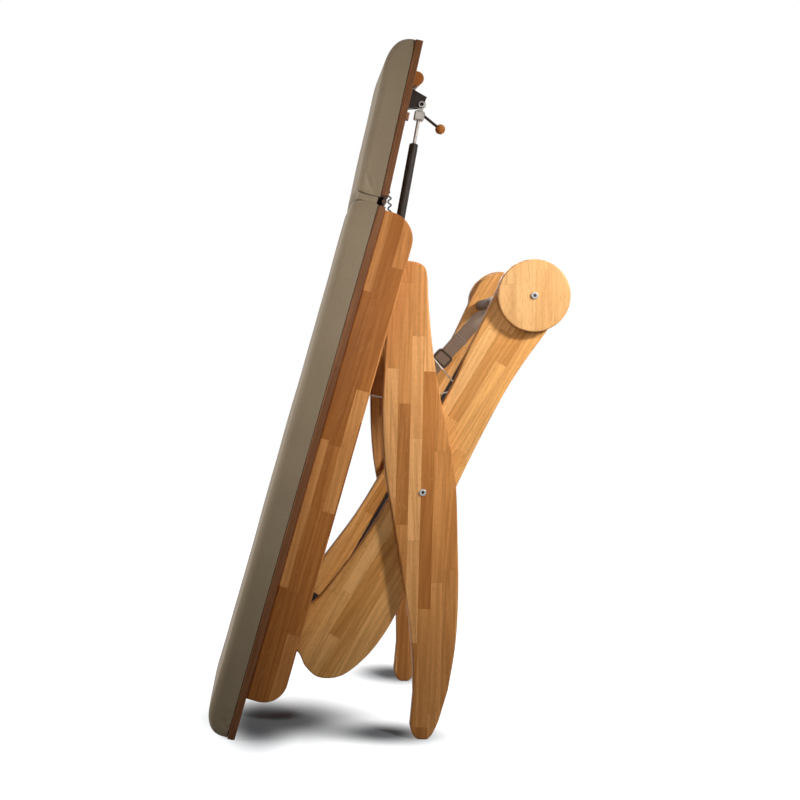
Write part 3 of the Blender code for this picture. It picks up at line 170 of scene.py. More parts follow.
def tossFor(tree, *cell):  # one random value and colour for each cell
    return addNode(tree, "TexWhiteNoise", {"Vector": joinXyz(tree, *cell)}, noise_dimensions="3D")


wood = {"rowSeed": 0.37, "pieceSeed": 4.1, "rowShift": 5.3, "alongShift": 41.0, "acrossShift": 17.0,
        "slant": 0.10, "ringTurns": 46.0, "greenPower": 1.25, "bluePower": 1.5, "poreLevel": 0.64,
        "poreShare": 0.42, "rayLevel": 0.63, "glueAcross": 0.00022, "glueAlong": 0.00028, "glueShare": 0.55,
        "glossSpread": 0.18, "poreRelief": -0.5, "glueRelief": -0.6, "bump": (0.25, 0.0004)}
woodNoise = {  # scales along, across and into the wood, then detail and roughness
    "figure": ((3.2, 190.0, 90.0), 5.0, 0.66), "years": ((1.1, 22.0, 14.0), 2.0, 0.5),
    "pores": ((55.0, 1050.0, 700.0), 1.0, 0.5), "rays": ((34.0, 120.0, 60.0), 2.0, 0.45)}


def staveWood(name, look):  # staves by row and by shifted piece along it, then grain, pores and rays in each
    finish, tree, shader = newFinish(name)
    along, across, depth = grainParts(tree)
    stave = mathNode(tree, "DIVIDE", across, look["staveWidth"])
    row = mathNode(tree, "FLOOR", stave)
    rowToss = tossFor(tree, row, wood["rowSeed"], 0.0)["Value"]
    length = timesPlus(tree, rowToss, look["lengthSpread"], look["lengthLeast"])
    run = mathNode(tree, "DIVIDE", timesPlus(tree, rowToss, wood["rowShift"], along), length)
    pieceToss = tossFor(tree, row, mathNode(tree, "FLOOR", run), wood["pieceSeed"])
    toss = pieceToss["Value"]
    tilt, start, shine = splitXyz(tree, pieceToss["Color"])

    slant = times(tree, mathNode(tree, "SUBTRACT", tilt, 0.5), wood["slant"])
    space = (timesPlus(tree, toss, wood["alongShift"], along),
             timesPlus(tree, start, wood["acrossShift"], timesPlus(tree, along, slant, across)), depth)

    def drawnOut(scales, detail, roughness):  # noise on the stave's space, each axis scaled by itself
        parts = [times(tree, part, scale) for part, scale in zip(space, scales)]
        return noiseNode(tree, joinXyz(tree, *parts), 1.0, detail, roughness)

    figure, years, pores, rays = (drawnOut(*values) for values in woodNoise.values())
    rings = mathNode(tree, "SINE", times(tree, years, wood["ringTurns"]))
    shade = times(tree, timesPlus(tree, rings, look["ringDepth"], 1.0 - look["ringDepth"]),
                  timesPlus(tree, figure, look["figureDepth"], 1.0 - 0.5 * look["figureDepth"]))
    tint = joinXyz(tree, shade, mathNode(tree, "POWER", shade, wood["greenPower"]),
                   mathNode(tree, "POWER", shade, wood["bluePower"]))
    colour = mixColour(tree, 1.0, rampNode(tree, toss, look["tones"]), tint, "MULTIPLY")
    poreMask = mathNode(tree, "GREATER_THAN", pores, wood["poreLevel"])
    colour = mixColour(tree, times(tree, poreMask, wood["poreShare"]), colour, look["pore"])
    rayMask = times(tree, mathNode(tree, "GREATER_THAN", rays, wood["rayLevel"]), shine)
    colour = mixColour(tree, times(tree, rayMask, look["rayShare"]), colour, look["ray"])
    edgeAcross = times(tree, mathNode(tree, "PINGPONG", stave, 0.5), look["staveWidth"])
    edgeAlong = times(tree, mathNode(tree, "PINGPONG", run, 0.5), length)
    glue = mathNode(tree, "MAXIMUM", mathNode(tree, "LESS_THAN", edgeAcross, wood["glueAcross"]),
                    mathNode(tree, "LESS_THAN", edgeAlong, wood["glueAlong"]))
    colour = mixColour(tree, times(tree, glue, wood["glueShare"]), colour, look["glue"])
    gloss = timesPlus(tree, figure, wood["glossSpread"], look["roughness"] - 0.5 * wood["glossSpread"])
    relief = timesPlus(tree, glue, wood["glueRelief"], timesPlus(tree, poreMask, wood["poreRelief"], figure))
    feed(tree, shader, {"Base Color": colour, "Roughness": gloss, "Specular IOR Level": look["specular"],
                        "Normal": bumpNode(tree, relief, *wood["bump"])})
    return finish


oakLook = {
    "staveWidth": 0.034, "lengthLeast": 0.19, "lengthSpread": 0.26, "roughness": 0.44, "specular": 0.12,
    "ringDepth": 0.085, "figureDepth": 0.66, "rayShare": 0.10,
    "tones": [(0.0, (0.46, 0.168, 0.040)), (0.25, (0.64, 0.270, 0.076)), (0.6, (0.75, 0.340, 0.108)),
              (0.88, (0.90, 0.465, 0.175)), (1.0, (0.54, 0.208, 0.052))],
    "pore": (0.26, 0.095, 0.024), "ray": (0.86, 0.52, 0.22), "glue": (0.22, 0.080, 0.02)}
paleLook = dict(
    oakLook, staveWidth=0.052, lengthLeast=0.45, lengthSpread=0.3, figureDepth=0.36, ringDepth=0.07,
    tones=[(0.0, (0.60, 0.305, 0.108)), (0.4, (0.69, 0.370, 0.140)), (1.0, (0.76, 0.430, 0.178))])
goldLook = dict(
    oakLook, tones=[(0.0, (0.58, 0.255, 0.066)), (0.35, (0.71, 0.338, 0.098)),
                    (0.8, (0.80, 0.404, 0.128)), (1.0, (0.88, 0.478, 0.176))])
# darker tones: partly the rails' own wood, partly painted shade
railShadedLook = dict(
    oakLook, pore=(0.17, 0.055, 0.012), glue=(0.12, 0.040, 0.010),
    tones=[(0.0, (0.36, 0.120, 0.023)), (0.6, (0.46, 0.165, 0.037)), (1.0, (0.68, 0.300, 0.092))])
boardLook = {
    "staveWidth": 0.042, "lengthLeast": 0.40, "lengthSpread": 0.50, "roughness": 0.50, "specular": 0.12,
    "ringDepth": 0.10, "figureDepth": 0.45, "rayShare": 0.15,
    "tones": [(0.0, (0.19, 0.076, 0.030)), (0.5, (0.25, 0.104, 0.042)), (1.0, (0.31, 0.138, 0.060))],
    "pore": (0.09, 0.034, 0.014), "ray": (0.46, 0.22, 0.10), "glue": (0.08, 0.028, 0.012)}
oak = staveWood("oiledOakStaves", oakLook)
paleOak = staveWood("paleOakStaves", paleLook)
goldOak = staveWood("goldOakStaves", goldLook)
railShadedOak = staveWood("darkShadedOakStaves", railShadedLook)
boardWood = staveWood("brownBoardWood", boardLook)

coverLook = {
    "cellScale": 620.0, "mottleShare": 0.35, "pebbleRim": 0.22,
    "drift": (5.0, 3.0, 0.5), "mottle": (160.0, 3.0, 0.6), "fold": (26.0, 3.0, 0.55),  # noises
    "foldBump": (0.18, 0.0020), "pebbleBump": (0.35, 0.0005),  # strength and depth
    "roughness": 0.46, "roughSpread": 0.16, "sheen": 0.05, "sheenRoughness": 0.45, "specular": 0.18,
    # painted shade: below this height the cover takes the dark colour, for the shade along the board
    "shadeHeight": 0.0014, "dark": (0.012, 0.009, 0.007),
    "tones": [(0.30, (0.235, 0.176, 0.110)), (0.55, (0.280, 0.214, 0.137)), (0.75, (0.320, 0.250, 0.166))]}


def leatherette(name, look):  # pebbled grain from cells, wide drift of tone, painted shade near the board below a set height
    finish, tree, shader = newFinish(name)
    along, across, height = grainParts(tree)
    space = joinXyz(tree, along, across, height)
    cells = addNode(tree, "TexVoronoi", {"Vector": space, "Scale": look["cellScale"]},
                    feature="DISTANCE_TO_EDGE")["Distance"]
    drift = noiseNode(tree, space, *look["drift"])
    mottle = noiseNode(tree, space, *look["mottle"])
    tint = timesPlus(tree, mottle, look["mottleShare"], times(tree, drift, 1.0 - look["mottleShare"]))
    # painted shade along the board
    paintedShade = mathNode(tree, "LESS_THAN", height, look["shadeHeight"])
    folded = bumpNode(tree, noiseNode(tree, space, *look["fold"]), *look["foldBump"])
    pebble = mathNode(tree, "MINIMUM", cells, look["pebbleRim"])
    feed(tree, shader, {
        "Base Color": mixColour(tree, paintedShade, rampNode(tree, tint, look["tones"]), look["dark"]),
        "Roughness": timesPlus(tree, mottle, look["roughSpread"], look["roughness"]),
        "Normal": bumpNode(tree, pebble, *look["pebbleBump"], folded),
        "Sheen Weight": look["sheen"], "Sheen Roughness": look["sheenRoughness"],
        "Specular IOR Level": look["specular"]})
    return finish


cover = leatherette("taupeLeatherette", coverLook)

metalLook = {"stretch": (1.0, 1.0, 1.0), "streak": (4.0, 0.6), "blotch": (38.0, 3.0, 0.55),
             "blotchShare": 0.6, "bumpDepth": 0.0002, "roughSpread": 0.20, "metallic": 0.0, "specular": 0.5}


def metal(name, **changes):  # brushed or cast metal on object coordinates: streaks, blotches, worn roughness
    look = dict(metalLook, **changes)
    finish, tree, shader = newFinish(name)
    coords = addNode(tree, "TexCoord", {})["Object"]
    drawn = addNode(tree, "Mapping", {"Vector": coords, "Scale": look["stretch"]})[0]
    streak = noiseNode(tree, drawn, look["scale"], *look["streak"])
    blotch = noiseNode(tree, coords, *look["blotch"])
    tint = timesPlus(tree, blotch, look["blotchShare"], times(tree, streak, 1.0 - look["blotchShare"]))
    feed(tree, shader, {
        "Base Color": rampNode(tree, tint, [(0.3, look["dark"]), (0.7, look["light"])]),
        "Roughness": timesPlus(tree, tint, look["roughSpread"], look["roughLeast"]),
        "Normal": bumpNode(tree, streak, look["bump"], look["bumpDepth"]),
        "Metallic": look["metallic"], "Specular IOR Level": look["specular"]})
    return finish


blackSteel = metal("blackCoatedSteel", scale=900.0, dark=(0.020, 0.014, 0.011), light=(0.048, 0.035, 0.028),
                   roughLeast=0.30, bump=0.12, specular=0.12)
brightSteel = metal("brightZincSteel", stretch=(1.0, 0.15, 1.0), scale=700.0, dark=(0.26, 0.26, 0.26),
                    light=(0.42, 0.42, 0.41), roughLeast=0.26, bump=0.08, metallic=1.0)
rodSteel = metal("polishedRodSteel", stretch=(1.0, 1.0, 0.05), scale=800.0, dark=(0.24, 0.215, 0.195),
                 light=(0.38, 0.345, 0.315), roughLeast=0.50, roughSpread=0.12, bump=0.04, metallic=1.0)
castGrey = metal("castGreyMetal", scale=420.0, dark=(0.27, 0.25, 0.22), light=(0.46, 0.43, 0.39),
                 roughLeast=0.34, roughSpread=0.24, bump=0.16, metallic=0.75)
bronzeHinge = metal("brownHingeSteel", stretch=(1.0, 0.2, 1.0), scale=500.0, dark=(0.050, 0.026, 0.017),
                    light=(0.095, 0.050, 0.032), roughLeast=0.36, roughSpread=0.22, bump=0.10,
                    metallic=0.25, specular=0.3)
brassBush = metal("dullBrassBush", scale=600.0, dark=(0.42, 0.30, 0.12), light=(0.58, 0.43, 0.20),
                  roughLeast=0.30, bump=0.08, metallic=1.0)
slideTaupe = metal("taupeMouldedSlide", scale=600.0, dark=(0.115, 0.083, 0.055), light=(0.180, 0.134, 0.092),
                   roughLeast=0.42, bump=0.10, specular=0.3)

weaveLook = {"fibre": (420.0, 3.0, 0.6), "tintShare": 0.22, "reliefShare": 0.6, "bump": (0.5, 0.0006),
             "roughness": 0.82, "sheen": 0.15, "specular": 0.3}


def woven(name, **changes):  # plain weave: sin(2 pi across / warp) sin(2 pi along / weft)
    look = dict(weaveLook, **changes)
    finish, tree, shader = newFinish(name)
    along, across, layer = grainParts(tree)
    warp = mathNode(tree, "SINE", times(tree, across, 2.0 * math.pi / look["warp"]))
    weft = mathNode(tree, "SINE", times(tree, along, 2.0 * math.pi / look["weft"]))
    weave = times(tree, warp, weft)
    fibre = noiseNode(tree, joinXyz(tree, along, across, layer), *look["fibre"])
    tint = timesPlus(tree, weave, look["tintShare"], fibre)
    relief = timesPlus(tree, weave, look["reliefShare"], fibre)
    feed(tree, shader, {
        "Base Color": rampNode(tree, tint, [(0.25, look["dark"]), (0.75, look["light"])]),
        "Normal": bumpNode(tree, relief, *look["bump"]), "Roughness": look["roughness"],
        "Sheen Weight": look["sheen"], "Specular IOR Level": look["specular"]})
    return finish


webbing = woven("greyTaupeWebbing", warp=0.0026, weft=0.0022, dark=(0.38, 0.290, 0.220),
                light=(0.62, 0.490, 0.385))
paleLine = woven("paleBraidedLine", warp=0.0016, weft=0.0030, dark=(0.60, 0.55, 0.48),
                 light=(0.82, 0.78, 0.70))
darkWire = woven("blackCurlyWire", warp=0.0040, weft=0.0009, dark=(0.008, 0.007, 0.007),
                 light=(0.018, 0.016, 0.015), sheen=0.0, specular=0.08)
print("finishes made")


# mesh writing: a grid of points, row by row, becomes quads; its end rows are capped, or joined to a ring

partCount = [0]
grainStep = np.array([1.37, 0.291, 0.113])  # every piece is cut from its own spot of the glued sheet


def meshFromGrid(name, points, grain, finish, ring=False, sharp=38.0, shifted=True, grainOrder=(0, 1, 2)):
    rows, columns = points.shape[:2]
    ids = np.arange(rows * columns).reshape(rows, columns)
    here = np.concatenate([ids, ids[:1]]) if ring else ids
    beside = np.roll(here, -1, axis=1)
    faces = np.stack([here[:-1], beside[:-1], beside[1:], here[1:]], axis=-1).reshape(-1, 4).tolist()
    if not ring:
        faces += [ids[0][::-1].tolist(), ids[-1].tolist()]
    mesh = bpy.data.meshes.new(name)
    mesh.from_pydata(points.reshape(-1, 3).tolist(), [], faces)
    probe = bmesh.new()
    probe.from_mesh(mesh)
    inward = probe.calc_volume(signed=True) < 0.0
    probe.free()
    if inward:
        mesh.flip_normals()
    partCount[0] += 1
    values = grain.reshape(-1, 3) + (grainStep * partCount[0] if shifted else 0.0)
    field = mesh.attributes.new("grain", "FLOAT_VECTOR", "POINT")
    field.data.foreach_set("vector", values[:, grainOrder].astype(np.float32).ravel())
    mesh.shade_smooth()
    mesh.set_sharp_from_angle(angle=math.radians(sharp))
    mesh.materials.append(finish)
    piece = bpy.data.objects.new(name, mesh)
    bpy.context.collection.objects.link(piece)
    return piece


def attach(piece, body, slot, *nodes):  # a piece that follows one body
    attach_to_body(piece, body)
    if nodes:
        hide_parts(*nodes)


def bridge(piece, first, second, start, end, slot, *nodes):  # a piece baked into world space, with the CAD nodes it replaces hidden
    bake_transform(piece)
    if nodes:
        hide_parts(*nodes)


def unit(vectors):  # each vector divided by its length
    return vectors / np.maximum(np.linalg.norm(vectors, axis=-1, keepdims=True), 1e-12)


def arcPoints(centre, radius, start, end, count):  # centre + radius (cos a, sin a), a in degrees
    turn = np.radians(np.linspace(start, end, count))
    return np.stack([centre[0] + radius * np.cos(turn), centre[1] + radius * np.sin(turn)], axis=-1)


def smoothLoop(points, steps, closed=True):
    # Catmull-Rom: 0.5 (2p1 + (p2-p0)t + (2p0-5p1+4p2-p3)t^2 + (3p1-p0-3p2+p3)t^3)
    points = np.asarray(points, float)
    if closed:
        corners = [np.roll(points, shift, axis=0) for shift in (1, 0, -1, -2)]
    else:
        padded = np.concatenate([points[:1], points, points[-1:]])
        corners = [padded[:-3], padded[1:-2], padded[2:-1], padded[3:]]
    t = (np.arange(steps) / steps)[None, :, None]
    p0, p1, p2, p3 = (part[:, None, :] for part in corners)
    curve = 0.5 * (2 * p1 + (p2 - p0) * t + (2 * p0 - 5 * p1 + 4 * p2 - p3) * t ** 2
                   + (3 * p1 - p0 - 3 * p2 + p3) * t ** 3)
    curve = curve.reshape(-1, points.shape[1])
    return curve if closed else np.concatenate([curve, points[-1:]])


def roundedEdge(rounding, steps=5):  # inset rounding (1 - sin t), rise rounding (1 - cos t)
    turn = np.linspace(0.0, math.pi / 2, steps)
    return rounding * (1.0 - np.sin(turn)), rounding * (1.0 - np.cos(turn))


miterLeast = 0.35  # keeps a sharp corner's inset short


def plank(name, outline, low, high, rounding, place, finish, grainTurn=0.0, **more):
    # outline drawn in by the rounded edge's inset while y moves by its rise, at both faces
    loop = np.asarray(outline, float)
    nextLoop = np.roll(loop, -1, axis=0)
    edgeIn = unit(loop - np.roll(loop, 1, axis=0))
    edgeOut = unit(nextLoop - loop)
    sign = np.sign(np.sum(loop[:, 0] * nextLoop[:, 1] - nextLoop[:, 0] * loop[:, 1]))
    sideIn, sideOut = (np.stack([edge[:, 1], -edge[:, 0]], axis=-1) * sign for edge in (edgeIn, edgeOut))
    both = 1.0 + np.sum(sideIn * sideOut, axis=-1, keepdims=True)
    miter = (sideIn + sideOut) / np.maximum(both, miterLeast)
    inset, rise = roundedEdge(rounding)
    insets = np.concatenate([inset, inset[::-1]])
    levels = np.concatenate([low + rise, high - rise[::-1]])
    flat = loop[None] - miter[None] * insets[:, None, None]
    x, z = flat[..., 0], flat[..., 1]
    y = np.broadcast_to(levels[:, None], x.shape)
    cosG = math.cos(grainTurn)
    sinG = math.sin(grainTurn)
    grain = np.stack([z * cosG + x * sinG, x * cosG - z * sinG, y], axis=-1)
    return meshFromGrid(name, toWorld(np.stack([x, y, z], axis=-1), place), grain, finish, **more)


def turnedPiece(name, profile, centre, place, finish, count=64, ring=False):
    # radius and y spun about an axis along y: (x, z) = centre + radius (cos a, sin a)
    profile = np.asarray(profile, float)
    angle = 2.0 * math.pi * np.arange(count) / count
    x = centre[0] + profile[:, :1] * np.cos(angle)
    y = np.broadcast_to(profile[:, 1:], x.shape)
    z = centre[1] + profile[:, :1] * np.sin(angle)
    points = toWorld(np.stack([x, y, z], axis=-1), place)
    return meshFromGrid(name, points, np.stack([z, x, y], axis=-1), finish, ring=ring)


def roundedProfile(radius, low, high, rounding):  # radius and y of a rod, drawn in at both ends
    inset, rise = roundedEdge(rounding)
    lower = np.stack([radius - inset, low + rise], axis=-1)
    upper = np.stack([radius - inset[::-1], high - rise[::-1]], axis=-1)
    return np.concatenate([lower, upper])


def boxLoop(xLow, xHigh, zLow, zHigh):  # the four corners in turn
    return [(xLow, zLow), (xHigh, zLow), (xHigh, zHigh), (xLow, zHigh)]


def sidePlank(side, name, node, loop, inner, outer, rounding, place, finish, body, grainTurn=0.0):
    # plank on one side of the lounger, between two distances from its middle
    low, high = sorted((sides[side] * inner, sides[side] * outer))
    piece = plank(name + side.title(), loop, low, high, rounding, place, finish, grainTurn)
    attach(piece, body, "oiled_oak", node + "_" + side)


# boards, rails and cross members

underside = boards["thickness"] + gap
headUnder = boards["thickness"] - hinge["depth"] + gap
lean = panelPlace["angle"]
boardLoop = [(0.0, 0.0), (boards["thickness"] - boards["floorFlat"] / math.sin(lean), 0.0),
             (boards["thickness"], boards["floorFlat"] / math.cos(lean)),
             (boards["thickness"], boards["mainLength"]), (0.0, boards["mainLength"])]
headLoop = boxLoop(-hinge["depth"], boards["thickness"] - hinge["depth"],
                   boards["headStart"], boards["headStart"] + boards["headLength"])
for name, node, loop, place, body in (("mainBoard", "main_board", boardLoop, panelPlace, "frame"),
                                      ("headBoard", "head_board", headLoop, headPlace, "head_panel")):
    board = plank(name, loop, -boards["halfWidth"], boards["halfWidth"], boards["rounding"], place, boardWood)
    attach(board, body, "board_oak", node)

rails = {"inner": 0.284, "outer": 0.312, "depth": 0.097, "start": 0.115, "length": 1.372,
         "footRound": 0.066, "headRound": 0.076, "rounding": 0.0045}
railEnd = rails["start"] + rails["length"]
railFront = underside + rails["depth"]
footCentre = (railFront - rails["footRound"], rails["start"] + rails["footRound"])
headCentre = (railFront - rails["headRound"], railEnd - rails["headRound"])
railLoop = np.concatenate([[(underside, railEnd), (underside, rails["start"])],
                           arcPoints(footCentre, rails["footRound"], -90, 0, count=24),
                           arcPoints(headCentre, rails["headRound"], 0, 90, count=24)])
for side in sides:
    sidePlank(side, "sideRail", "side_rail", railLoop, rails["inner"], rails["outer"], rails["rounding"],
              panelPlace, railShadedOak, "frame")

crossMembers = {"depth": 0.038, "width": 0.050, "reach": 0.2837, "rounding": 0.003,
                "places": {"foot": 0.190, "middle": 0.565, "head": 1.445}}
for name, centre in crossMembers["places"].items():
    half = crossMembers["width"] / 2
    loop = boxLoop(underside, underside + crossMembers["depth"], centre - half, centre + half)
    bar = plank(name + "CrossMember", loop, -crossMembers["reach"], crossMembers["reach"],
                crossMembers["rounding"], panelPlace, oak, grainOrder=(2, 1, 0))  # grain across the lounger
    attach(bar, "frame", "oiled_oak", name + "_cross_member")

racks = {"spread": 0.150, "thickness": 0.026, "seat": 0.0124, "notchDepth": 0.0016, "pitch": 0.042,
         "count": 3, "margin": 0.030, "rounding": 0.0015}
notchDowel = {"spot": (-0.088, 0.5745), "radius": 0.012, "reach": 0.262, "rounding": 0.001}
dowelSpot = spotIn(outerPlace, *notchDowel["spot"])
dx = dowelSpot[0] - panelPlace["x"]
dz = dowelSpot[1] - panelPlace["z"]
notch = (dx * math.cos(lean) - dz * math.sin(lean), dx * math.sin(lean) + dz * math.cos(lean))
rackEdge = notch[0] - racks["seat"] + racks["notchDepth"]
notchTurn = math.degrees(math.acos((racks["seat"] - racks["notchDepth"]) / racks["seat"]))
rackTop = notch[1] + racks["margin"]
rackFoot = notch[1] - racks["pitch"] * (racks["count"] - 1) - racks["margin"]
rackLoop = np.concatenate(
    [[(rackEdge, rackTop), (underside, rackTop), (underside, rackFoot), (rackEdge, rackFoot)]]
    + [arcPoints((notch[0], notch[1] - racks["pitch"] * index), racks["seat"],
                 180 + notchTurn, 180 - notchTurn, count=7) for index in reversed(range(racks["count"]))])
for side in sides:
    sidePlank(side, "notchRack", "notch_rack", rackLoop, racks["spread"] - racks["thickness"] / 2,
              racks["spread"] + racks["thickness"] / 2, racks["rounding"], panelPlace, oak, "frame")
print("panel wood made")


# legs: the outlines are smooth loops through a few measured points

legs = {"innerLow": 0.212, "innerHigh": 0.244, "outerLow": 0.248, "outerHigh": 0.280, "endRadius": 0.093,
        "rounding": 0.0055, "steps": 9, "innerGrain": -0.045}
innerBack = [(0.034, 0.100), (0.045, 0.216), (0.049, 0.330), (0.042, 0.470), (0.028, 0.640), (0.014, 0.800),
             (-0.004, 0.905), (-0.015, 0.985)]
innerHeel = [(0.142, 0.960), (0.146, 0.850), (0.164, 0.690), (0.190, 0.510), (0.216, 0.340), (0.237, 0.205),
             (0.243, 0.125), (0.236, 0.045), (0.209, -0.033), (0.160, -0.071), (0.112, -0.067),
             (0.072, -0.046)]
innerEar = [(0.005, -0.046), (-0.032, -0.033), (-0.046, 0.003), (-0.031, 0.036), (0.005, 0.060)]
innerEnd = arcPoints(wheelCentre, legs["endRadius"], 195, -15, count=7)
innerLoop = smoothLoop(np.concatenate([innerBack, innerEnd, innerHeel, innerEar]), legs["steps"])
outerFront = [(-0.018, 0.622), (-0.003, 0.595), (0.003, 0.520), (0.018, 0.390), (0.043, 0.255),
              (0.069, 0.150), (0.090, 0.030), (0.099, -0.120), (0.105, -0.265), (0.101, -0.410),
              (0.083, -0.540)]
outerFoot = [(0.060, 0.052), (0.0535, 0.0360), (0.047, 0.022), (0.0415, 0.0125), (0.036, 0.006),
             (0.031, 0.0018), (0.026, 0.0), (0.006, 0.0), (0.001, 0.0017), (-0.004, 0.0055),
             (-0.0085, 0.0110), (-0.0125, 0.018), (-0.018, 0.036)]  # heights above the floor
outerBack = [(-0.012, -0.550), (-0.019, -0.420), (-0.047, -0.240), (-0.078, -0.080), (-0.104, 0.060),
             (-0.115, 0.220), (-0.112, 0.360), (-0.110, 0.480), (-0.116, 0.575), (-0.097, 0.616),
             (-0.058, 0.630)]
outerLoop = np.concatenate([smoothLoop(outerBack + outerFront, legs["steps"], closed=False),
                            np.array(outerFoot) - (0.0, outerPlace["z"])])
for side in sides:
    sidePlank(side, "innerLeg", "inner_leg", innerLoop, legs["innerLow"], legs["innerHigh"],
              legs["rounding"], innerPlace, goldOak, "inner_legs", legs["innerGrain"])
    sidePlank(side, "outerLeg", "outer_leg", outerLoop, legs["outerLow"], legs["outerHigh"],
              legs["rounding"], outerPlace, oak, "outer_legs")
dowelProfile = roundedProfile(notchDowel["radius"], -notchDowel["reach"], notchDowel["reach"],
                              notchDowel["rounding"])
dowel = turnedPiece("notchDowel", dowelProfile, notchDowel["spot"], outerPlace, oak, count=40)
attach(dowel, "outer_legs", "oiled_oak", "notch_dowel")

wheels = {"radius": 0.0995, "inside": 0.2455, "outside": 0.2785, "bore": 0.0093, "rounding": 0.0040}
for side, sign in sides.items():
    low, high = sorted((sign * wheels["inside"], sign * wheels["outside"]))
    rim = roundedProfile(wheels["radius"], low, high, wheels["rounding"])
    profile = np.concatenate([rim, [(wheels["bore"], high), (wheels["bore"], low)]])
    disc = turnedPiece("wheel" + side.title(), profile, (0.0, 0.0), wheelPlace, paleOak, count=128, ring=True)
    attach(disc, "wheel_" + side + "_body", "oiled_oak", "wheel_" + side)

bolts = {"radius": 0.0095, "height": 0.004, "bore": 0.0046, "depth": 0.0025, "edge": 0.0012, "shank": 0.006,
         "bevel": 0.0004, "start": 0.2067, "shadeDiscRise": 0.0006, "shadeDiscCore": 0.0012}
boltSpots = {"wheel": (innerPlace, wheelCentre, 0.2800, "inner_legs"),
             "pivot": (outerPlace, (0.0, 0.0), 0.2803, "outer_legs")}
# painted shade in the bores: how the black domes sit
shadeDiscFit = {"inset": 0.0002, "clear": 0.0001, "dome": 0.0003}


def boltProfile(bolt, seat):  # shank, flat under the head, rounded rim, bevel and bore: radius and y
    top = seat + bolt["height"]
    inset, rise = roundedEdge(bolt["edge"])
    rim = np.stack([bolt["radius"] - rise, top - inset], axis=-1)
    shank = [(bolt["shank"], bolt["start"]), (bolt["shank"], seat), (bolt["radius"], seat)]
    bore = [(bolt["bore"] + bolt["bevel"], top), (bolt["bore"], top - bolt["bevel"]),
            (bolt["bore"], top - bolt["depth"])]
    return np.concatenate([shank, rim, bore])


def shadeDiscProfile(bolt, seat):  # painted shade: a shallow black dome on the bottom of the bore, for the shade inside it
    bottom = seat + bolt["height"] - bolt["depth"]
    edge = bolt["bore"] - shadeDiscFit["inset"]
    return np.array([(edge, bottom + shadeDiscFit["clear"]), (edge, bottom + bolt["shadeDiscRise"]),
                     (bolt["shadeDiscCore"], bottom + bolt["shadeDiscRise"] + shadeDiscFit["dome"])])


for kind, (place, centre, seat, body) in boltSpots.items():
    for side, sign in sides.items():
        bolt = turnedPiece(kind + "Bolt" + side.title(), boltProfile(bolts, seat) * (1.0, sign), centre,
                           place, brightSteel, count=48)
        attach(bolt, body, "bright_steel", kind + "_bolt_" + side)
        # painted shade: a black dome in each bolt's bore
        shadeDisc = turnedPiece(kind + "BoltShadeDisc" + side.title(), shadeDiscProfile(bolts, seat) * (1.0, sign), centre,
                           place, blackSteel, count=6)
        attach(shadeDisc, body, "black_steel")
print("legs and wheels made")


# wooden pieces on the head panel, the gas spring's bolt and the lever's ball

stopDowel = {"radius": 0.0217, "reach": 0.038, "place": 0.4150, "flat": 0.004, "grain": 0.3}
bumpBlock = {"place": 0.296, "length": 0.022, "depth": 0.022, "reach": 0.013}
smallRounding = 0.003
sweep = math.degrees(math.acos(1.0 - stopDowel["flat"] / stopDowel["radius"]))
stopLoop = arcPoints((headUnder + stopDowel["radius"] - stopDowel["flat"], stopDowel["place"]),
                     stopDowel["radius"], -180 + sweep, 180 - sweep, count=56)
# painted shade: the stop dowel takes the darker rail oak for the shade under the head panel
stop = plank("headStopDowel", stopLoop, -stopDowel["reach"], stopDowel["reach"], smallRounding, headPlace,
             railShadedOak, stopDowel["grain"])
attach(stop, "head_panel", "oiled_oak", "head_stop_dowel")
blockLoop = boxLoop(headUnder, headUnder + bumpBlock["depth"], bumpBlock["place"],
                    bumpBlock["place"] + bumpBlock["length"])
block = plank("headBumpBlock", blockLoop, -bumpBlock["reach"], bumpBlock["reach"], smallRounding, headPlace,
              boardWood)
attach(block, "head_panel", "oiled_oak", "head_bump_block")

sleeve = {"spot": (0.0579, 0.3491), "seat": 0.0113, "height": 0.005, "radius": 0.0095, "bore": 0.0058,
          "shank": 0.004, "edge": 0.0010, "depth": 0.0042, "bevel": 0.0006, "start": 0.0,
          "shadeDiscRise": 0.0005, "shadeDiscCore": 0.0010}
halfSleeve = boltProfile(sleeve, sleeve["seat"])
sleeveProfile = np.concatenate([halfSleeve[:0:-1] * (1.0, -1.0), halfSleeve])
headBolt = turnedPiece("gasSpringHeadBolt", sleeveProfile, sleeve["spot"], headPlace, brightSteel, count=48)
attach(headBolt, "head_panel", "bright_steel", "gas_spring_head_bolt")
for side, sign in sides.items():
    # painted shade: a black dome in each end of the sleeve's bore
    holeShade = turnedPiece("headBoltShadeDisc" + side.title(), shadeDiscProfile(sleeve, sleeve["seat"]) * (1.0, sign),
                       sleeve["spot"], headPlace, blackSteel, count=32)
    attach(holeShade, "head_panel", "black_steel")

lever = {"aside": 0.0105, "along": 0.3875, "reach": 0.0588, "drop": 28.7, "ballRadius": 0.0150,
         "ballSeat": 0.007, "shankRadius": 0.0042, "seatGap": 0.0004, "tip": 0.02, "rows": 24, "columns": 40}
gasFoot = spotIn(panelPlace, pivots["footDepth"], pivots["footPlace"])
gasHead = spotIn(headPlace, *sleeve["spot"])
gasTurn = math.degrees(math.atan2(gasHead[0] - gasFoot[0], gasHead[1] - gasFoot[1]))
gasPlace = placeAt(gasFoot, gasTurn)
leverPlace = placeAt(spotIn(gasPlace, lever["aside"], lever["along"]), gasTurn + 90.0 + lever["drop"])
ballStart = lever["reach"] - lever["ballSeat"]
ballBore = lever["shankRadius"] + gap
turn = np.linspace(math.asin(ballBore / lever["ballRadius"]), math.pi - lever["tip"], lever["rows"])
radii = np.concatenate([[ballBore, ballBore], lever["ballRadius"] * np.sin(turn)])[:, None]
